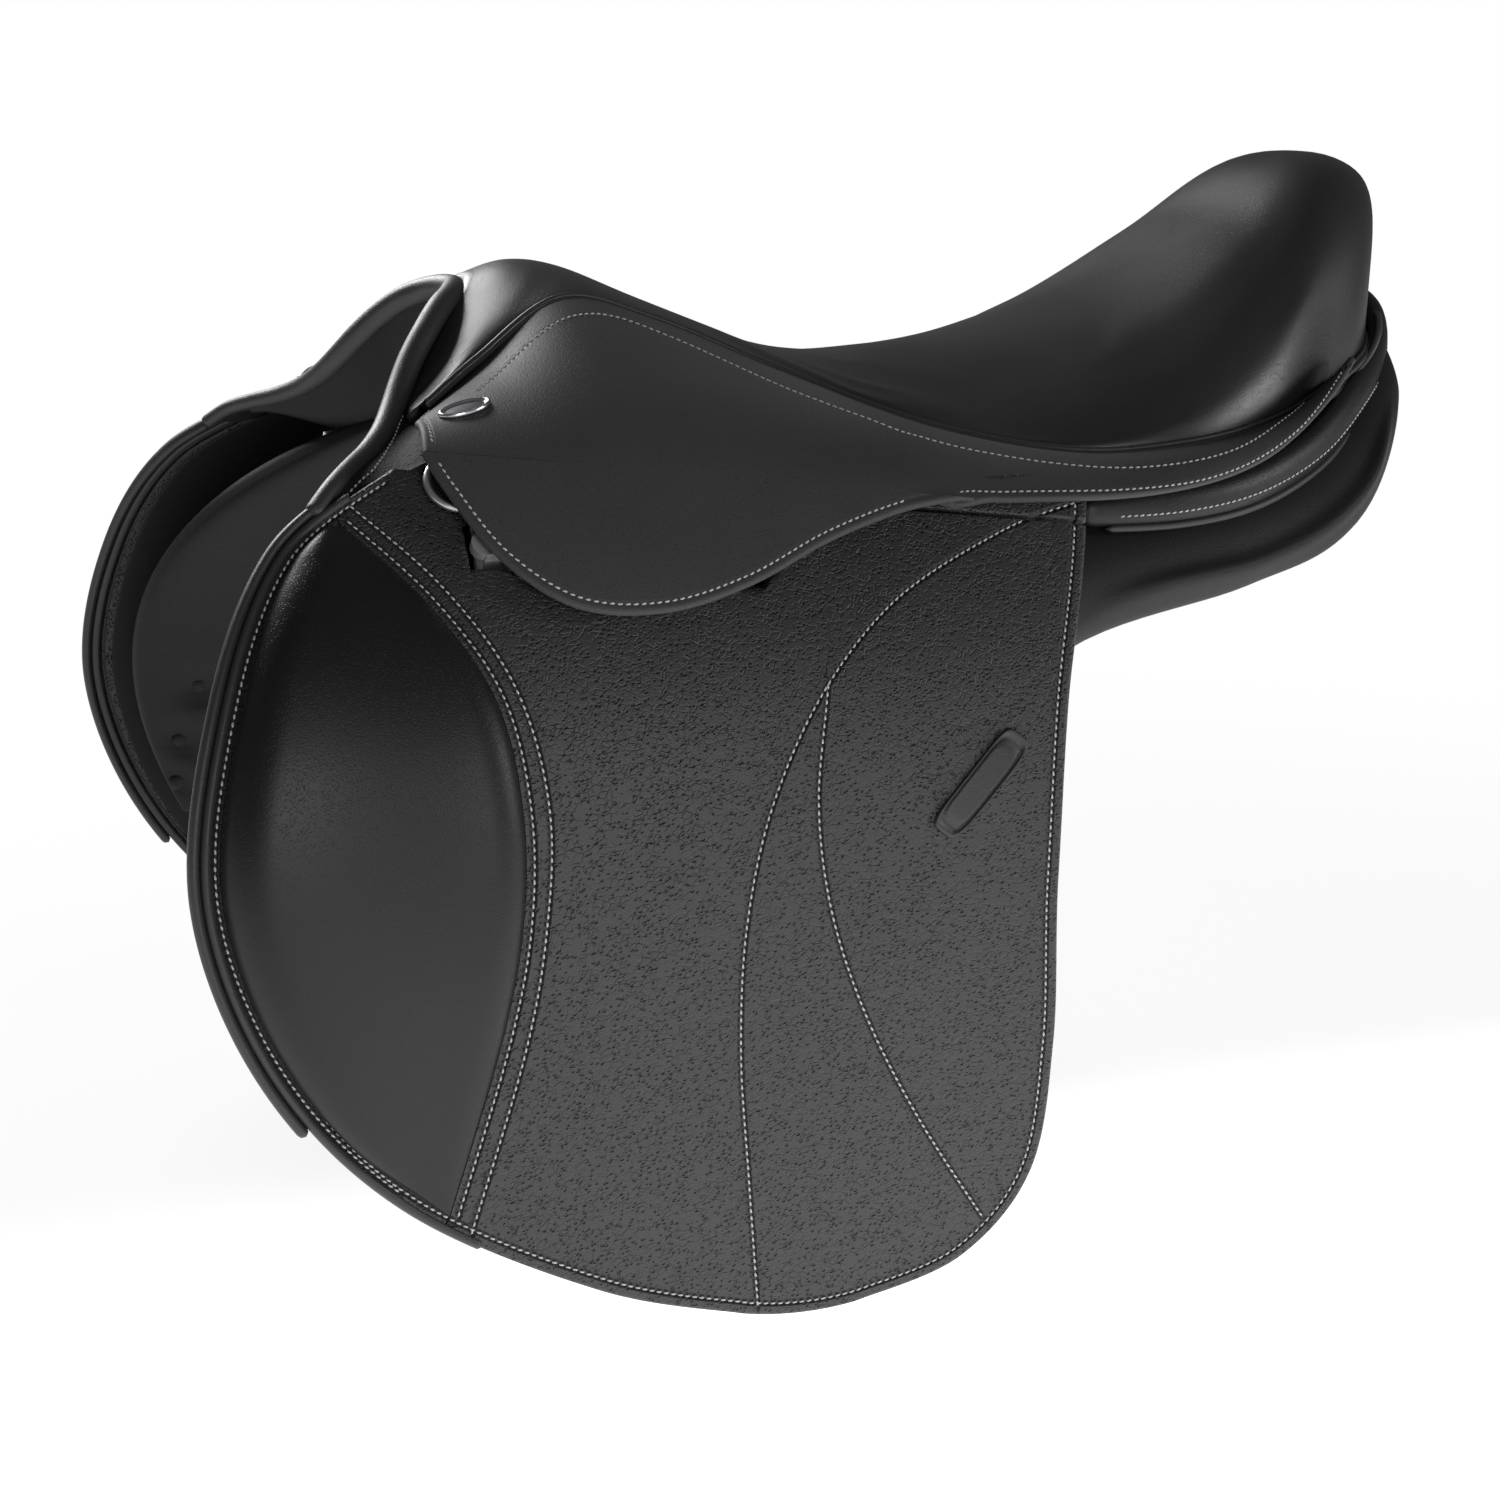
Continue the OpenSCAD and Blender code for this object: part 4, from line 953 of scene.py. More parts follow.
def flap_binding():
    """Rounded strip bound over the flap's front edge, behind the roll, that runs on below the roll's
    end."""
    line = curve(FLAP_FRONT, np.linspace(0.06, 0.77, 220))
    c = [(-0.9, 0), (-0.8, 1.7), (0, 3.0), (1.1, 3.5), (2.2, 3.1), (3.0, 2.0), (3.0, -2.1), (1, -2.6),
         (-0.6, -2.1)]
    return on_side_roll(line, loop(c, 28), 1.5)


pair("flap_roll", flap_roll(), roll_leather, "side_flap", ["side_flap_roll"])
pair("flap_binding", flap_binding(), roll_leather, "side_flap")

KNEE_ROWS, KNEE_COLS = rim_steps(70, 280), rim_steps(56, 100)


def knee_pad():
    """Padded sheet between the roll and the rear line: it rises as a quarter circle over the first 18 mm,
    sinks slowly behind that ridge and drops to the flap over the last 14 mm."""
    t, s = grid(KNEE_ROWS, KNEE_COLS)
    front, rear = flat(behind_roll(mix(0.1, 0.665, KNEE_ROWS), ROLL_ROW + 1.6)), flat(knee_rear(KNEE_ROWS))
    place = unflat(mix(front[:, None], rear[:, None], s[..., None]))
    wide = np.linalg.norm(rear - front, axis=1)[:, None]
    ridge, fall = np.minimum(18, 0.45 * wide), np.minimum(14, 0.4 * wide)
    up = np.sqrt(1 - (1 - np.clip(s * wide / ridge, 0, 1)) ** 2)
    down = np.sqrt(1 - (1 - np.clip((1 - s) * wide / fall, 0, 1)) ** 2)
    ends = np.maximum(0, np.sin(np.pi * t)) ** 0.5
    high = 0.1 + 16.0 * ends * up ** 0.9 * down * (1 - 0.5 * smooth(0.2, 0.95, s))
    top, low = laid(place, FLAP_OUT + 0.06 + high), laid(place, FLAP_OUT + 0.02)
    return closed_sheet(top, low, flat(place)).uncut()


for pad in pair("knee_pad", knee_pad(), pad_leather, "side_flap", ["side_knee_pad"]):
    puff(pad, sewn_rim(len(KNEE_ROWS), len(KNEE_COLS), 2), 2.0)


def sewn_plate():
    """Bare oblong plate sewn on the flap: rings of a rounded oblong, with a groove just inside the
    rim."""
    rho = np.array([0.3, 0.6, 0.74, 0.79, 0.83, 0.87, 0.92, 0.96, 0.985, 1.0])
    high = np.array([1.3, 1.3, 1.25, 0.7, 0.5, 0.75, 1.7, 1.75, 1.3, 0.0])
    ring = oval(72, X[:2], Y[:2])
    ring = (np.sign(ring) * np.abs(ring) ** 0.4) @ np.array([(18, 18), (5.25, -4.5)])
    place = rho[:, None, None] * ring + (-22.0, -34.5)
    face, under = laid(place, FLAP_OUT + 0.02 + high[:, None]), laid(place[-1:], FLAP_OUT - 0.6)
    return carried(np.concatenate([face, under])).uncut()


pair("sewn_plate", sewn_plate(), roll_leather, "side_flap")

# Skirts: a band sewn to the seat seam and a lobe below the fold line

SKIRT_ROOM = 3.8
LOBE_ROW = [(-227, 92), (-221, 79), (-205, 56), (-180, 40), (-147, 37), (-112, 44), (-76, 57), (-40, 66),
            (-10, 69)]
TOP_ROW = [(-199, 0.33), (-181, 0.22), (-160, 0.15), (-122, 0.12), (-90, 0.23), (-62, 0.39), (-32, 0.5),
           (-12, 0.41), (6, 0.39), (40, 0.465), (77, 0.53), (122, 0.525), (155, 0.36), (170, 0.26)]
TAIL_ROW = [(-20, 0.96), (2, 0.857), (60, 0.84), (102, 0.85), (147, 0.815), (168, 0.76), (190, 0.7)]
TIP, TIP_W, TAPER = 203.0, 0.36, 24.0


def lobe_edge(t):
    """Edge of the lobe, a little outside its stitches and below the fold line."""
    edge = inset(curve(LOBE_ROW, t), -SKIRT_ROOM)
    return np.stack([edge[:, 0], np.minimum(edge[:, 1], fold_z(edge[:, 0]) - 0.6)], -1)


def skirt_lobe():
    """Sheet from the fold line straight down to the lobe's rounded edge, on the skirt's layer of the
    side."""
    a, b = grid(rim_steps(110, 250, high=False), rim_steps(26, 40, low=False))
    low = lobe_edge(a[:, 0])
    top = np.stack([low[:, 0], fold_z(low[:, 0])], -1)
    place = mix(top[:, None], low[:, None], b[..., None])
    near = signed(flat(place), curve(LOBE_ROW, even(160)))
    return side_sheet(place, SKIRT_MID, SKIRT_T, [LAST_COL], seam=near)


def tail_z(x):
    """Lower edge of the skirt's tail, rising towards the cantle as a power of the distance."""
    return 66.5 + 12 * (np.maximum(0, x - 40) / 96) ** 2.9


def band(x, w):
    """Band from below the piping, w = 0, to the fold line or the tail's edge, w = 1: a cubic whose ends
    leave the chord at the angle of a shallow arc, and which meets the lobe along the side's own slope.
    Its front is tucked in under the seat, less so towards the fold line."""
    s = seam(x)
    a = s + (0, -5.2, -3.7)
    z = tail_z(x)
    p = on_side(x, z, SKIRT_MID)
    tail = np.stack([x, mix(p[..., 1], s[..., 1] - 26, smooth(48, 152, x)), z], -1)
    hinge = on_side(x, fold_z(x), SKIRT_MID)
    k = smooth(-40, 10, x)[..., None]
    b = mix(hinge, tail, k)
    a[..., 0], b[..., 0] = x, x
    c = (a + b) / 2 + 10 * unit(np.cross(b - a, X))
    g = side_g(fold_z(x))
    rise = unit(np.stack([0 * g, g, np.ones_like(g)], -1))
    p1, p2 = a + 2 / 3 * (c - a), b + 2 / 3 * (c - b)
    p2 = mix(b + rise * np.linalg.norm(p2 - b, axis=-1, keepdims=True), p2, k)
    w = w[..., None]
    tuck = (1 - w * w) * (1 - smooth(-205, -150, x))[..., None] * np.array([2.5, 7.4, -1.9])
    return (1 - w) ** 3 * a + 3 * w * (1 - w) ** 2 * p1 + 3 * w * w * (1 - w) * p2 + w ** 3 * b + tuck


def band_out(x, w):
    """Direction out of the band, away from the middle of the saddle."""
    out = unit(np.cross(band(x, w + 0.01) - band(x, w - 0.01), band(x + 0.5, w) - band(x - 0.5, w)))
    return towards(out, np.stack([smooth(150, 230, x), -np.ones_like(x), np.full_like(x, 0.6)], -1))


def band_w(x, w):
    """Share of the band's depth: the tail is a little shorter than the chord and drawn in to a rounded
    rear tip."""
    low = w * (1 - 0.09 * smooth(-18, 4, x) - 0.09 * smooth(135, 175, x))
    k = np.sqrt(np.maximum(0.0004, 1 - np.clip((x - TIP + TAPER) / TAPER, 0, 1) ** 2))
    return TIP_W + (low - TIP_W) * k


def band_front(w):
    """Front edge of the band, a little further ahead at its foot and rounded off at its top."""
    return -226.5 - 3.4 * w + 9 * (1 - smooth(0, 0.28, w))


def band_rows():
    """Stitched lines of the band, as places x, w: below the piping, up its front edge, and along the
    tail's edge."""
    w = np.linspace(0.12, 0.91, 60)
    front = np.stack([band_front(w) + SKIRT_ROOM, w], -1)
    return [curve(TOP_ROW, even(240)), front, curve(TAIL_ROW, mix(0.07, 1, even(240)))]


def skirt_band():
    """Sheet over the band, with the distance from its stitched lines kept at its points."""
    a, w = grid(rim_steps(190, 430), rim_steps(34, 60))
    x = mix(band_front(w), TIP, a)
    mid, out = (of(x, band_w(x, w)) for of in (band, band_out))
    cut = [FIRST_ROW, (x[:, -1] > -14, -1), (x[:, 0] > TIP - TAPER, 0), LAST_ROW]
    near = np.min([from_line(mid.reshape(-1, 3), band(*r.T))[0] for r in band_rows()], axis=0)
    down = np.cumsum(np.linalg.norm(np.diff(mid, axis=1, prepend=mid[:, :1]), axis=2), axis=1)
    return leather_sheet(mid, out, SKIRT_T, cut, np.stack([x, down[:, -1:] - down], -1), seam=near)


def band_stitching():
    """Rows of stitches on the band's face."""
    rows = []
    for x, w in (r.T for r in band_rows()):
        out = band_out(x, w)
        rows.append(stitch_row(band(x, w) + (SKIRT_T / 2 + 0.1) * out, out))
    return stitches(rows)


def lobe_stitching():
    """Row of stitches on the lobe's face, as far up as 3 mm below the fold line."""
    row = curve(LOBE_ROW, even(300))
    return stitches([side_row(row[row[:, 1] < fold_z(row[:, 0]) - 3], SKIRT_MID + SKIRT_T / 2 + 0.1)])


def oval_stud():
    """Bare oval stud on the skirt: rings of an oval, a rounded rim about a hollow face."""
    x, w = np.array([-208.0]), np.array([0.52])
    run = unit(band(x + 4, w) - band(x - 4, w))[0]
    out = band_out(x, w)[0]
    rho = np.array([0.12, 0.4, 0.66, 0.76, 0.8, 0.84, 0.89, 0.94, 0.98, 1.0, 1.0, 0.96])
    high = np.array([1.25, 1.2, 1.05, 0.95, 0.98, 1.5, 1.95, 2.0, 1.6, 0.9, -0.2, -0.3])
    ring = oval(56, 11.5 * run, 6.5 * np.cross(out, run))
    base = band(x, w)[0] + SKIRT_T / 2 * out
    shape = carried(base + rho[:, None, None] * ring + high[:, None, None] * out)
    shape.values["rim"] = np.concatenate([np.repeat(rho > 0.79, len(ring)), [0, 1]])
    return shape


pair("skirt_lobe", skirt_lobe(), skirt_leather, "side_skirt", ["side_skirt"], 40)
pair("skirt_band", skirt_band(), skirt_leather, "saddle", ["side_skirt_band"], 40)
pair("lobe_stitching", lobe_stitching(), thread, "side_skirt")
pair("band_stitching", band_stitching(), thread, "saddle")
stud = oval_stud()
put("skirt_studs_oval", stud + stud.mirrored(), stud_steel, "saddle", ["skirt_studs"])

# Seat

SEAT_U, SEAT_V = np.concatenate([np.zeros(4), even(112)]), np.sin(np.pi / 2 * np.linspace(-1, 1, 81))
SEAT_NOSE = [(-1.5, 0, -11), (-4.2, 0, -7.5), (-4.2, 0, -4), (-2.6, 0, -1.6)]


def seat():
    """Padded seat: its top, rolled down in front to the crease behind the roll, and its foot d below,
    closed round the seam."""
    top, low = (seat_pt(SEAT_U[:, None], SEAT_V[None], d) for d in (0, SEAT_PAD - 0.4))
    top[:4] += np.array(SEAT_NOSE)[:, None]
    low[:4] = low[4] + np.linspace(1.6, 2, 4)[:, None, None] * (X + Z)
    return closed_sheet(top, low).uncut()


cushion = put("padded_seat", seat(), seat_leather, "saddle", ["seat_cover", "seat_foam"])
puff(cushion, sewn_rim(len(SEAT_U), len(SEAT_V), 4), 1.5)


def cord(y, z, r):
    """Thin cord along the seam, y beside and z above it, from the pommel round the cantle and back."""
    left = seat_edge(mix(0.015, 1, even(260))) + (0, y, z)
    rear = seat_pt(1.0, np.linspace(-0.85, 0.85, 40), EDGE_T) + (2.2 - y, 0, z - 1)
    return roll(np.concatenate([left, rear, left[::-1] * MIRROR]), r, 10)


put("seat_piping", cord(-1.3, -0.9, 1.25) + cord(-3.5, -2.6, 1.3), roll_leather, "saddle",
    ["seat_welt"])

POMMEL = [(-185, 0, 150.5), (-190, -20, 149), (-199, -35, 144), (-208, -48, 135.5), (-216, -58, 126),
          (-223, -68.5, 116), (-229, -79.5, 107.5), (-236, -93, 100), (-245, -108, 94.5),
          (-255, -123, 90.5), (-265, -138, 85.5), (-275, -149.5, 77)]
LINING_FALL = [(2, 0, -1), (5, 0, -14), (9, 0, -27), (15, 0, -35), (24, 0, -37), (36, 0, -33)]


def pommel_path(n, reach=1.0):
    """Middle line of the roll over the pommel, from one side to the other, over a share of its whole
    reach."""
    left = np.array(POMMEL, float)
    return curve(np.concatenate([left[:0:-1], left * MIRROR]), 0.5 + reach * np.linspace(-0.5, 0.5, n))


def pommel_roll():
    """Covered roll over the pommel, from one flap's fold line to the other's."""
    path = pommel_path(260)
    return roll(path, 5.4 - 1.7 * smooth(215, 270, -path[:, 0]), 20, 3.0)


def head_lining():
    """Smooth lining under the pommel: it falls from the roll into the arch and turns back in a rounded
    edge, less so towards its ends."""
    n, k = 90, 26
    taper = 1 - 0.9 * smooth(0.45, 1, np.abs(np.linspace(-1, 1, n)))
    mid = pommel_path(n, 0.84)[:, None] * (1, 0.97, 1) + taper[:, None, None] * curve(LINING_FALL, even(k))
    pattern = np.stack(grid(np.arange(n) * 2.4, np.arange(k) * 3.0), -1)
    return leather_sheet(mid, square_to(mid), 2.4, [LAST_COL], pattern)


def web_grid():
    """Places and outward directions between the roll's lower stretch and the skirt's front edge with the
    flap's top corner below it, sunk between them as a sine."""
    w = np.linspace(0.05, 1, 28)
    beside = curve(POMMEL, np.linspace(0.46, 0.96, 40))
    under = band(band_front(w) + 6, w) + (0, 3.5, -2.5)
    under = np.concatenate([under, mix(under[-1], on_side(-243.0, 88.0, -3.6), even(13)[1:, None])])
    q = even(12)[:, None]
    mid = mix(beside[:, None], under[:, None], q) - 3.5 * np.sin(np.pi * q) * (0, -0.4, 1)
    return mid, towards(square_to(mid), (-0.3, -0.8, 0.5))


put("pommel_cover", pommel_roll(), roll_leather, "saddle", ["pommel_roll"])
put("head_lining", head_lining(), lining_leather, "saddle")
web_mid, web_out = web_grid()
web_pattern = np.stack(grid(*(np.arange(n) * 1.5 for n in web_mid.shape[:2])), -1)
pair("front_web", leather_sheet(web_mid, web_out, 2.0, [FIRST_ROW], web_pattern), web_leather_painted_shade, "saddle")
row_mid, row_out = web_mid[5:-2, 3], web_out[5:-2, 3]
pair("web_stitching", stitches([stitch_row(row_mid + 1.15 * row_out, row_out)]), thread, "saddle")

# Facing, panels and lining

FACING = [(52, -136, 60), (100, -134, 61), (140, -126, 66.5), (178, -110, 79), (208, -90, 96),
          (236, -62, 112), (252, -33, 127), (256, 0, 133)]
FACING_R, FACING_FLAT = 10.5, 0.62


def facing_frame(n):
    """Middle line of the facing round the back, with its outward and downward directions and its half
    height."""
    left = np.array(FACING, float)
    path = curve(np.concatenate([left, left[-2::-1] * MIRROR]), even(n))
    t = run_of(path)
    a = unit(np.cross(t, Z))
    r = FACING_R * (0.35 + 0.65 * np.maximum(0, np.sin(np.pi * even(n))) ** 0.3)
    return path, a, np.cross(t, a), r


def rear_facing():
    """Padded band: an upright oval carried round the back under the cantle."""
    path, a, b, r = facing_frame(180)
    ring = oval(28, FACING_FLAT * a[:, None], b[:, None])
    return carried(path[:, None] + (r * round_ends(path, 5))[:, None, None] * ring).uncut()


def facing_line(e, lift, n):
    """Line along the facing at an angle e below its outer side, lifted off it, with its outward
    directions."""
    path, a, b, r = facing_frame(n)
    out = unit(np.cos(e) / FACING_FLAT * a + np.sin(e) * b)
    return path + r[:, None] * (FACING_FLAT * np.cos(e) * a + np.sin(e) * b) + lift * out, out


facing = put("facing_pad", rear_facing(), pad_leather, "saddle", ["rear_facing"])
row = [v[12:-12] for v in facing_line(0.3, 0.15, 400)]
put("facing_stitching", stitches([stitch_row(*row)]), thread, "saddle")
put("facing_piping", roll(facing_line(1.25, 1.0, 220)[0][5:-5], 1.7, 10, 2.0), roll_leather, "saddle")

PANEL_TOP = [(-205, -55, 88), (-165, -48, 80), (-100, -44, 68), (-30, -41, 54), (50, -39, 46),
             (140, -39, 52), (205, -36, 92), (249, -32, 133)]
PANEL_MID = [(-362, -192, 15), (-215, -200, 42), (-120, -195, 48), (-35, -175, 50), (50, -128, 50),
             (145, -108, 56), (212, -92, 74), (250, -64, 106)]
PANEL_LOW = [(-291, -182, -123), (-215, -184, -128), (-130, -182, -100), (-50, -172, -45), (45, -140, 2),
             (142, -115, 19), (198, -98, 38), (246, -68, 96)]
TUFTS = [(0.053, 0.745), (0.032, 0.855), (0.014, 0.94)]
BUTTON = [(4.2, -1.0), (4.2, 0.8), (3.1, 1.7), (1.4, 2.1)]


def panel_centre(u, q):
    """Middle of the panel: across from the channel to its lower edge it is a parabola with three guide
    lines."""
    a, b, c = (curve(p, u) for p in (PANEL_TOP, PANEL_MID, PANEL_LOW))
    q = q[..., None]
    return (1 - q) ** 2 * a + 2 * q * (1 - q) * b + q * q * c


def under_sweat(p):
    """Keeps a panel's point inside the sweat flap."""
    x, y, z = np.moveaxis(p, -1, 0)
    inner = side_y(z) + (PANEL_OUT - 0.8) * np.sqrt(1 + side_g(z) ** 2)
    return np.stack([x, np.maximum(y, -inner), z], -1)


def panel_half(u, q):
    """Half the panel's thickness, outward: it swells between the rims as a root of one minus a power, is
    drawn in at the tufts in front, and has a gusset seam along its outer side behind."""
    e = 0.01
    du = panel_centre(np.clip(u + e, 0, 1), q) - panel_centre(np.clip(u - e, 0, 1), q)
    dq = panel_centre(u, np.clip(q + e, 0, 1)) - panel_centre(u, np.clip(q - e, 0, 1))
    full = mix(14, 23, smooth(0.1, 0.5, u) * (1 - 0.55 * smooth(0.8, 1, u)))
    ends = np.sqrt(np.maximum(0, 1 - np.abs(2 * u - 1) ** mix(9, 6, u)))
    rim = np.sqrt(np.maximum(0, 1 - np.abs(2 * q - 1) ** 3)) * ends
    draw = np.max([np.exp(-(((u - a) / 0.018) ** 2 + ((q - b) / 0.035) ** 2)) for a, b in TUFTS], axis=0)
    welt = 5.0 * np.exp(-((q - mix(0.9, 0.78, smooth(0.7, 0.92, u))) / 0.04) ** 2)
    welt = welt * smooth(0.55, 0.65, u) * (1 - smooth(0.88, 0.96, u))
    return ((1.2 + full * rim) * (1 - 0.5 * draw) + welt)[..., None] * unit(np.cross(dq, du))


def panel():
    """Stuffed panel: its middle with half its thickness to either side."""
    u, q = grid(eased(104), eased(56))
    c, half = panel_centre(u, q), panel_half(u, q)
    return closed_sheet(under_sweat(c + half), under_sweat(c - half) + 0.4 * Y).uncut()


def tuft_button(a, b):
    """Covered button in a tuft on the panel's inner face: a flat dome of four rings."""
    u, q = np.full(1, a), np.full(1, b)
    half = panel_half(u, q)[0]
    out = -unit(half)
    side = unit(np.cross(out, Z))
    ring = oval(14, side, np.cross(out, side))
    return carried(np.stack([panel_centre(u, q)[0] - half + r * ring + h * out for r, h in BUTTON])).uncut()


for pad in pair("stuffed_panel", panel(), lining_leather, "saddle", ["side_panel"]):
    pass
pair("tuft_buttons", joined(tuft_button(*t) for t in TUFTS), lining_leather, "saddle")


def layer(us, vs, d, thick):
    """Sheet that follows the seat from the depth d down."""
    u, v = grid(us, vs)
    out = unit(seat_pt(u, v, d) - seat_pt(u, v, d + thick))
    return leather_sheet(seat_pt(u, v, d + thick / 2), out, thick, pattern=np.stack([u * 500, v * 100], -1))


def cantle_flange():
    """Leather that closes the back between the facing and the seat, straight between them with a slight
    swell, and rises a little behind the cantle."""
    path, _, b, r = (v[120:-120] for v in facing_frame(400))
    low = path - 0.55 * r[:, None] * b
    left = seat_edge(np.linspace(0.66, 1, 120))
    seam_line = np.concatenate([left, [(248.0, 0, 131)], left[::-1] * MIRROR])
    length = lengths(seam_line)
    s = np.linspace(0, length[-1], len(low))
    high = at(length, seam_line, s)
    away = unit(np.cross(run_of(high), Z))
    rear = smooth(205, 245, high[:, 0])[:, None]
    high = high + mix(3.0, 5.0, rear) * away + mix(-5.0, 6.0, rear) * Z
    q = rim_steps(16, 25, low=False)
    mid = mix(low[:, None], high[:, None], q[:, None]) + 2.5 * np.sin(np.pi * q)[:, None] * away[:, None]
    return leather_sheet(mid, square_to(mid), 3.0, [LAST_COL], np.stack(grid(s, q * 25), -1))


put("cantle_flange", cantle_flange(), roll_leather, "saddle")
channel = layer(rim_steps(70, 450) * 0.84 + 0.02, rim_steps(40, 120) * 1.24 - 0.62, LINING_D, 2.0)
put("channel_cover", channel, lining_leather, "saddle", ["channel_lining"])
web = layer(rim_steps(80, 400) * 0.73 + 0.1, rim_steps(8, 20) * 0.2 - 0.3, WEB_D, 2.0)
put("linen_seat_webs", web + web.mirrored(), linen, "saddle", ["seat_webs"])

# Sweat flaps, blocks, webs and straps

SWEAT_FRONT = [(-237, 46), (-283, 0), (-309, -60), (-284, -130), (-217, -188), (-129, -227)]
SWEAT_REAR = [(6, 46), (-2, -20), (-6, -90), (-8, -150), (-20, -195), (-63, -225)]
BLOCK_OUT = -3.3
STRAPS = {"front": -122.0, "rear": -66.0}
STRAP_OUT, STRAP_IN, STRAP_PIN, STRAP_END, STRAP_W = -7.0, -11.0, 40.0, -150, 25
HOLE_R, RIVET_R, HOLE_FIRST, HOLE_STEP, HOLES = 2.5, 3.08, -130, 25, 6
DEE_PLACE, DEE_TURN, DEE_OUT, CHAPE_W = (-217.0, 83.0), np.radians(109), 5.4, 15.7


def sweat_flap():
    """Leather between a front and a rear line, its foot sagging as a parabola."""
    t, s = grid(rim_steps(60, 260), rim_steps(50, 250))
    place = mix(curve(SWEAT_FRONT, t), curve(SWEAT_REAR, t), s[..., None])
    place = place - np.stack([0 * s, 26 * s * (1 - s) * t ** 4], -1)
    return side_sheet(place, (SWEAT_OUT + SWEAT_IN) / 2, 3.0)


def block(front, rear):
    """Padded block on the sweat flap: a mound between two lines, as a root of a sine each way."""
    t, s = grid(eased(44), eased(24))
    place = mix(curve(front, t), curve(rear, t), s[..., None])
    base = SWEAT_OUT + 0.05
    high = np.clip(np.sin(np.pi * t) * np.sin(np.pi * s), 0, 1) ** 0.4
    return closed_sheet(laid(place, mix(base + 0.3, BLOCK_OUT, high)), laid(place, base)).uncut()


def girth_strap(x):
    """Strap from above its rivet to a rounded tip: half its width falls as a root over the last 13 mm."""
    t, s = grid(rim_steps(90, 200), rim_steps(14, STRAP_W))
    z = mix(52, STRAP_END, t)
    half = STRAP_W / 2 * np.sqrt(np.maximum(0.06, 1 - np.clip(1 - (z - STRAP_END) / 13, 0, 1) ** 2))
    place = np.stack([x + (2 * s - 1) * half, z], -1)
    return side_sheet(place, (STRAP_OUT + STRAP_IN) / 2, STRAP_OUT - STRAP_IN)


def punched(x, z, r):
    """Round hole square to the side at a place, from inside the strap to outside it."""
    base, out = on_side(x, z, 0), side_out(np.array(z))
    ring = oval(24, r * X, r * np.cross(out, X))
    return carried(np.stack([base + ring + n * out for n in (STRAP_IN - 3, STRAP_OUT + 3)]))


def girth_web(x):
    """Web from under the tree over the panel to a strap's rivet, along a smooth line."""
    top = seat_pt(np.interp(x, SEAM[:, 0], SEAM_U), -0.8, LINING_D) - Z
    path = [(x, *top[1:]), on_side(x, 80, -13.55), *(on_side(x, z, -11.95) for z in (62, 46, 30))]
    line = curve(path, even(60))
    s = rim_steps(12, STRAP_W) * STRAP_W - STRAP_W / 2
    mid = line[:, None] + s[:, None] * X
    out = np.broadcast_to(unit(np.cross(np.gradient(line, axis=0), X))[:, None], mid.shape)
    pattern = np.stack(grid(np.arange(len(line)) * 1.6, s)[::-1], -1)
    return leather_sheet(mid, out, 1.2, [FIRST_COL, LAST_COL], pattern)


def flap_head():
    """Leather strip under the skirt band that carries the flap along its top edge."""
    x = np.concatenate([np.linspace(-209, NOTCH_FRONT - 0.5, 4), np.linspace(NOTCH_FRONT, NOTCH_REAR, 40),
                        np.linspace(NOTCH_REAR + 0.5, -35, 24)])
    line = flap_place(np.array([0.0, 1.0]), np.zeros(2))
    edge = np.interp(x, line[:, 0], line[:, 1])
    low = np.where((x < NOTCH_FRONT) | (x > NOTCH_REAR), edge, fold_z(x)) + FOLD_GAP
    z = mix(low[:, None], fold_z(x)[:, None] + 4, even(6))
    return closed_sheet(on_side(x[:, None], z, 8.1), on_side(x[:, None], z, -FLAP_OUT)).uncut()


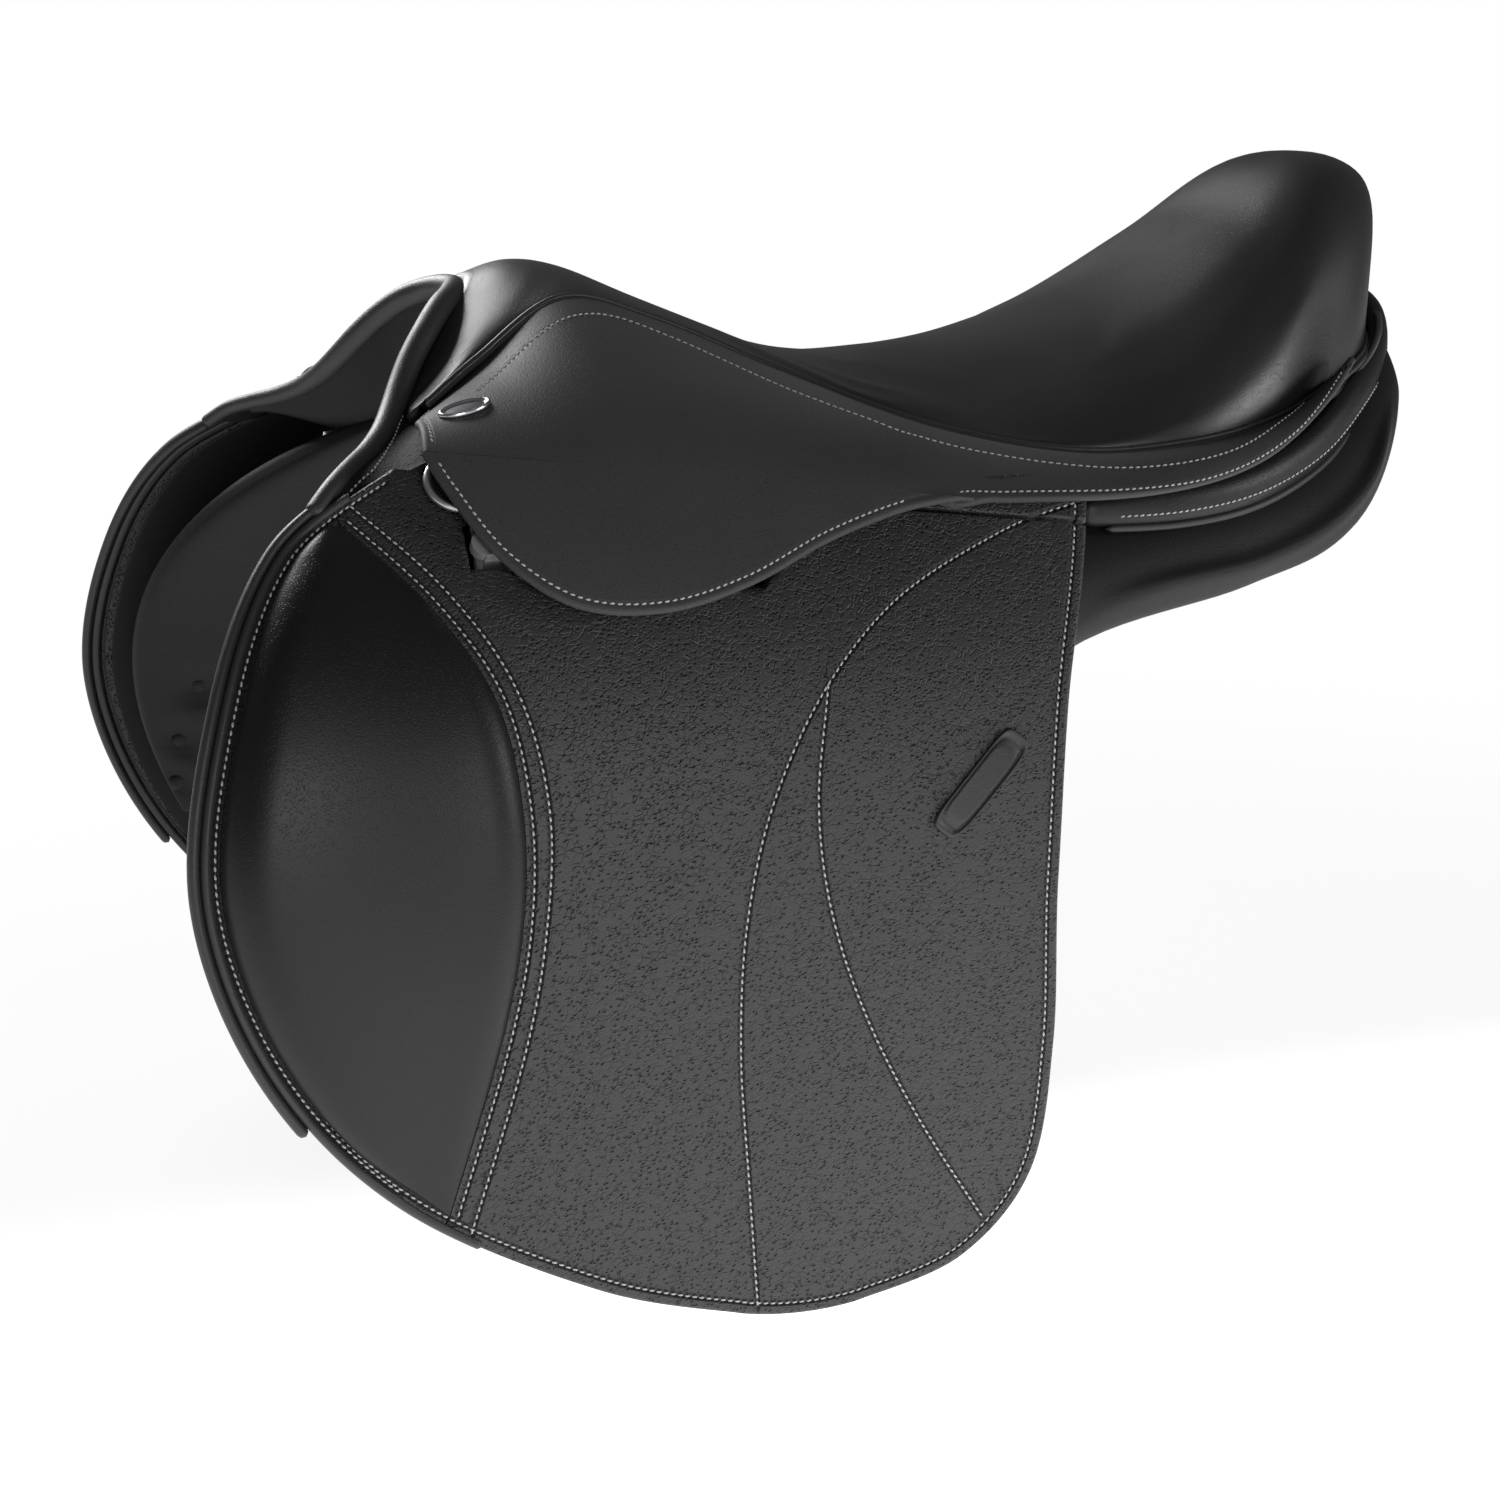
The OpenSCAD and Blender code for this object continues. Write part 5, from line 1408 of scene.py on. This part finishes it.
def dee_chape():
    """Leather loop round the dee ring's straight wire: a strip carried round the wire and laid back on
    itself."""
    e = np.linspace(-np.pi / 2, np.pi / 2, 14)
    around = 2.48 * np.stack([np.cos(e), np.sin(e)], -1)
    line = curve(np.concatenate([[(-8, -2.42), (-6, -2.42), (-3, -2.42)], around,
                                 [(-2.5, 2.1), (-5, 0.4), (-8, -0.9)]]), even(60))
    out = side_out(np.array(DEE_PLACE[1]))
    up = np.cross(out, X)
    bar = np.cos(DEE_TURN) * X + np.sin(DEE_TURN) * up
    plane = np.stack([np.cos(DEE_TURN) * up - np.sin(DEE_TURN) * X, out])
    s = rim_steps(10, CHAPE_W) * CHAPE_W - CHAPE_W / 2
    mid = on_side(*DEE_PLACE, DEE_OUT) + (line @ plane)[:, None] + s[:, None] * bar
    return leather_sheet(mid, np.broadcast_to((-left_of(run_of(line)) @ plane)[:, None], mid.shape), 1.24)


pair("sweat_sheet", sweat_flap(), lining_leather, "saddle", ["side_sweat_flap"])
for name, front, rear in (
        ("knee_block", [(-267, 20), (-295, -40), (-291, -105)], [(-245, 14), (-265, -40), (-267, -98)]),
        ("thigh_block", [(-26, -55), (-28, -105), (-34, -160)], [(-8, -50), (-8, -105), (-16, -165)])):
    for pad in pair(name + "_pad", block(front, rear), pad_leather, "saddle",
                    ["side_" + name]):
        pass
for name, x in STRAPS.items():
    straps = pair(name + "_strap", girth_strap(x), strap_leather, "side_" + name + "_strap",
                  ["side_" + name + "_girth_strap"])
    holes = [punched(x, HOLE_FIRST + HOLE_STEP * k, HOLE_R) for k in range(HOLES)]
    take_out(straps, joined([punched(x, STRAP_PIN, RIVET_R), *holes]))
pair("linen_girth_webs", joined(girth_web(x) for x in STRAPS.values()), linen, "saddle",
     ["side_girth_web"])
pair("head_strip", flap_head(), strap_leather, "saddle", ["side_flap_head"], sharp=40)
pair("dee_loop", dee_chape(), strap_leather, "side_flap", ["side_dee_chape"])

# Steel and wood keep their machined shapes

STEEL = ("head_plate", "rivets", "stirrup_bar", "catch_pin", "bar_catch", "dee_ring")
for node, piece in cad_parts.items():
    kept = {"tree_frame": beech}.get(node)
    if kept is None and node.endswith(STEEL):
        kept = bar_steel if node.endswith("stirrup_bar") else steel
    if kept:
        piece.data.materials.clear()
        piece.data.materials.append(kept)
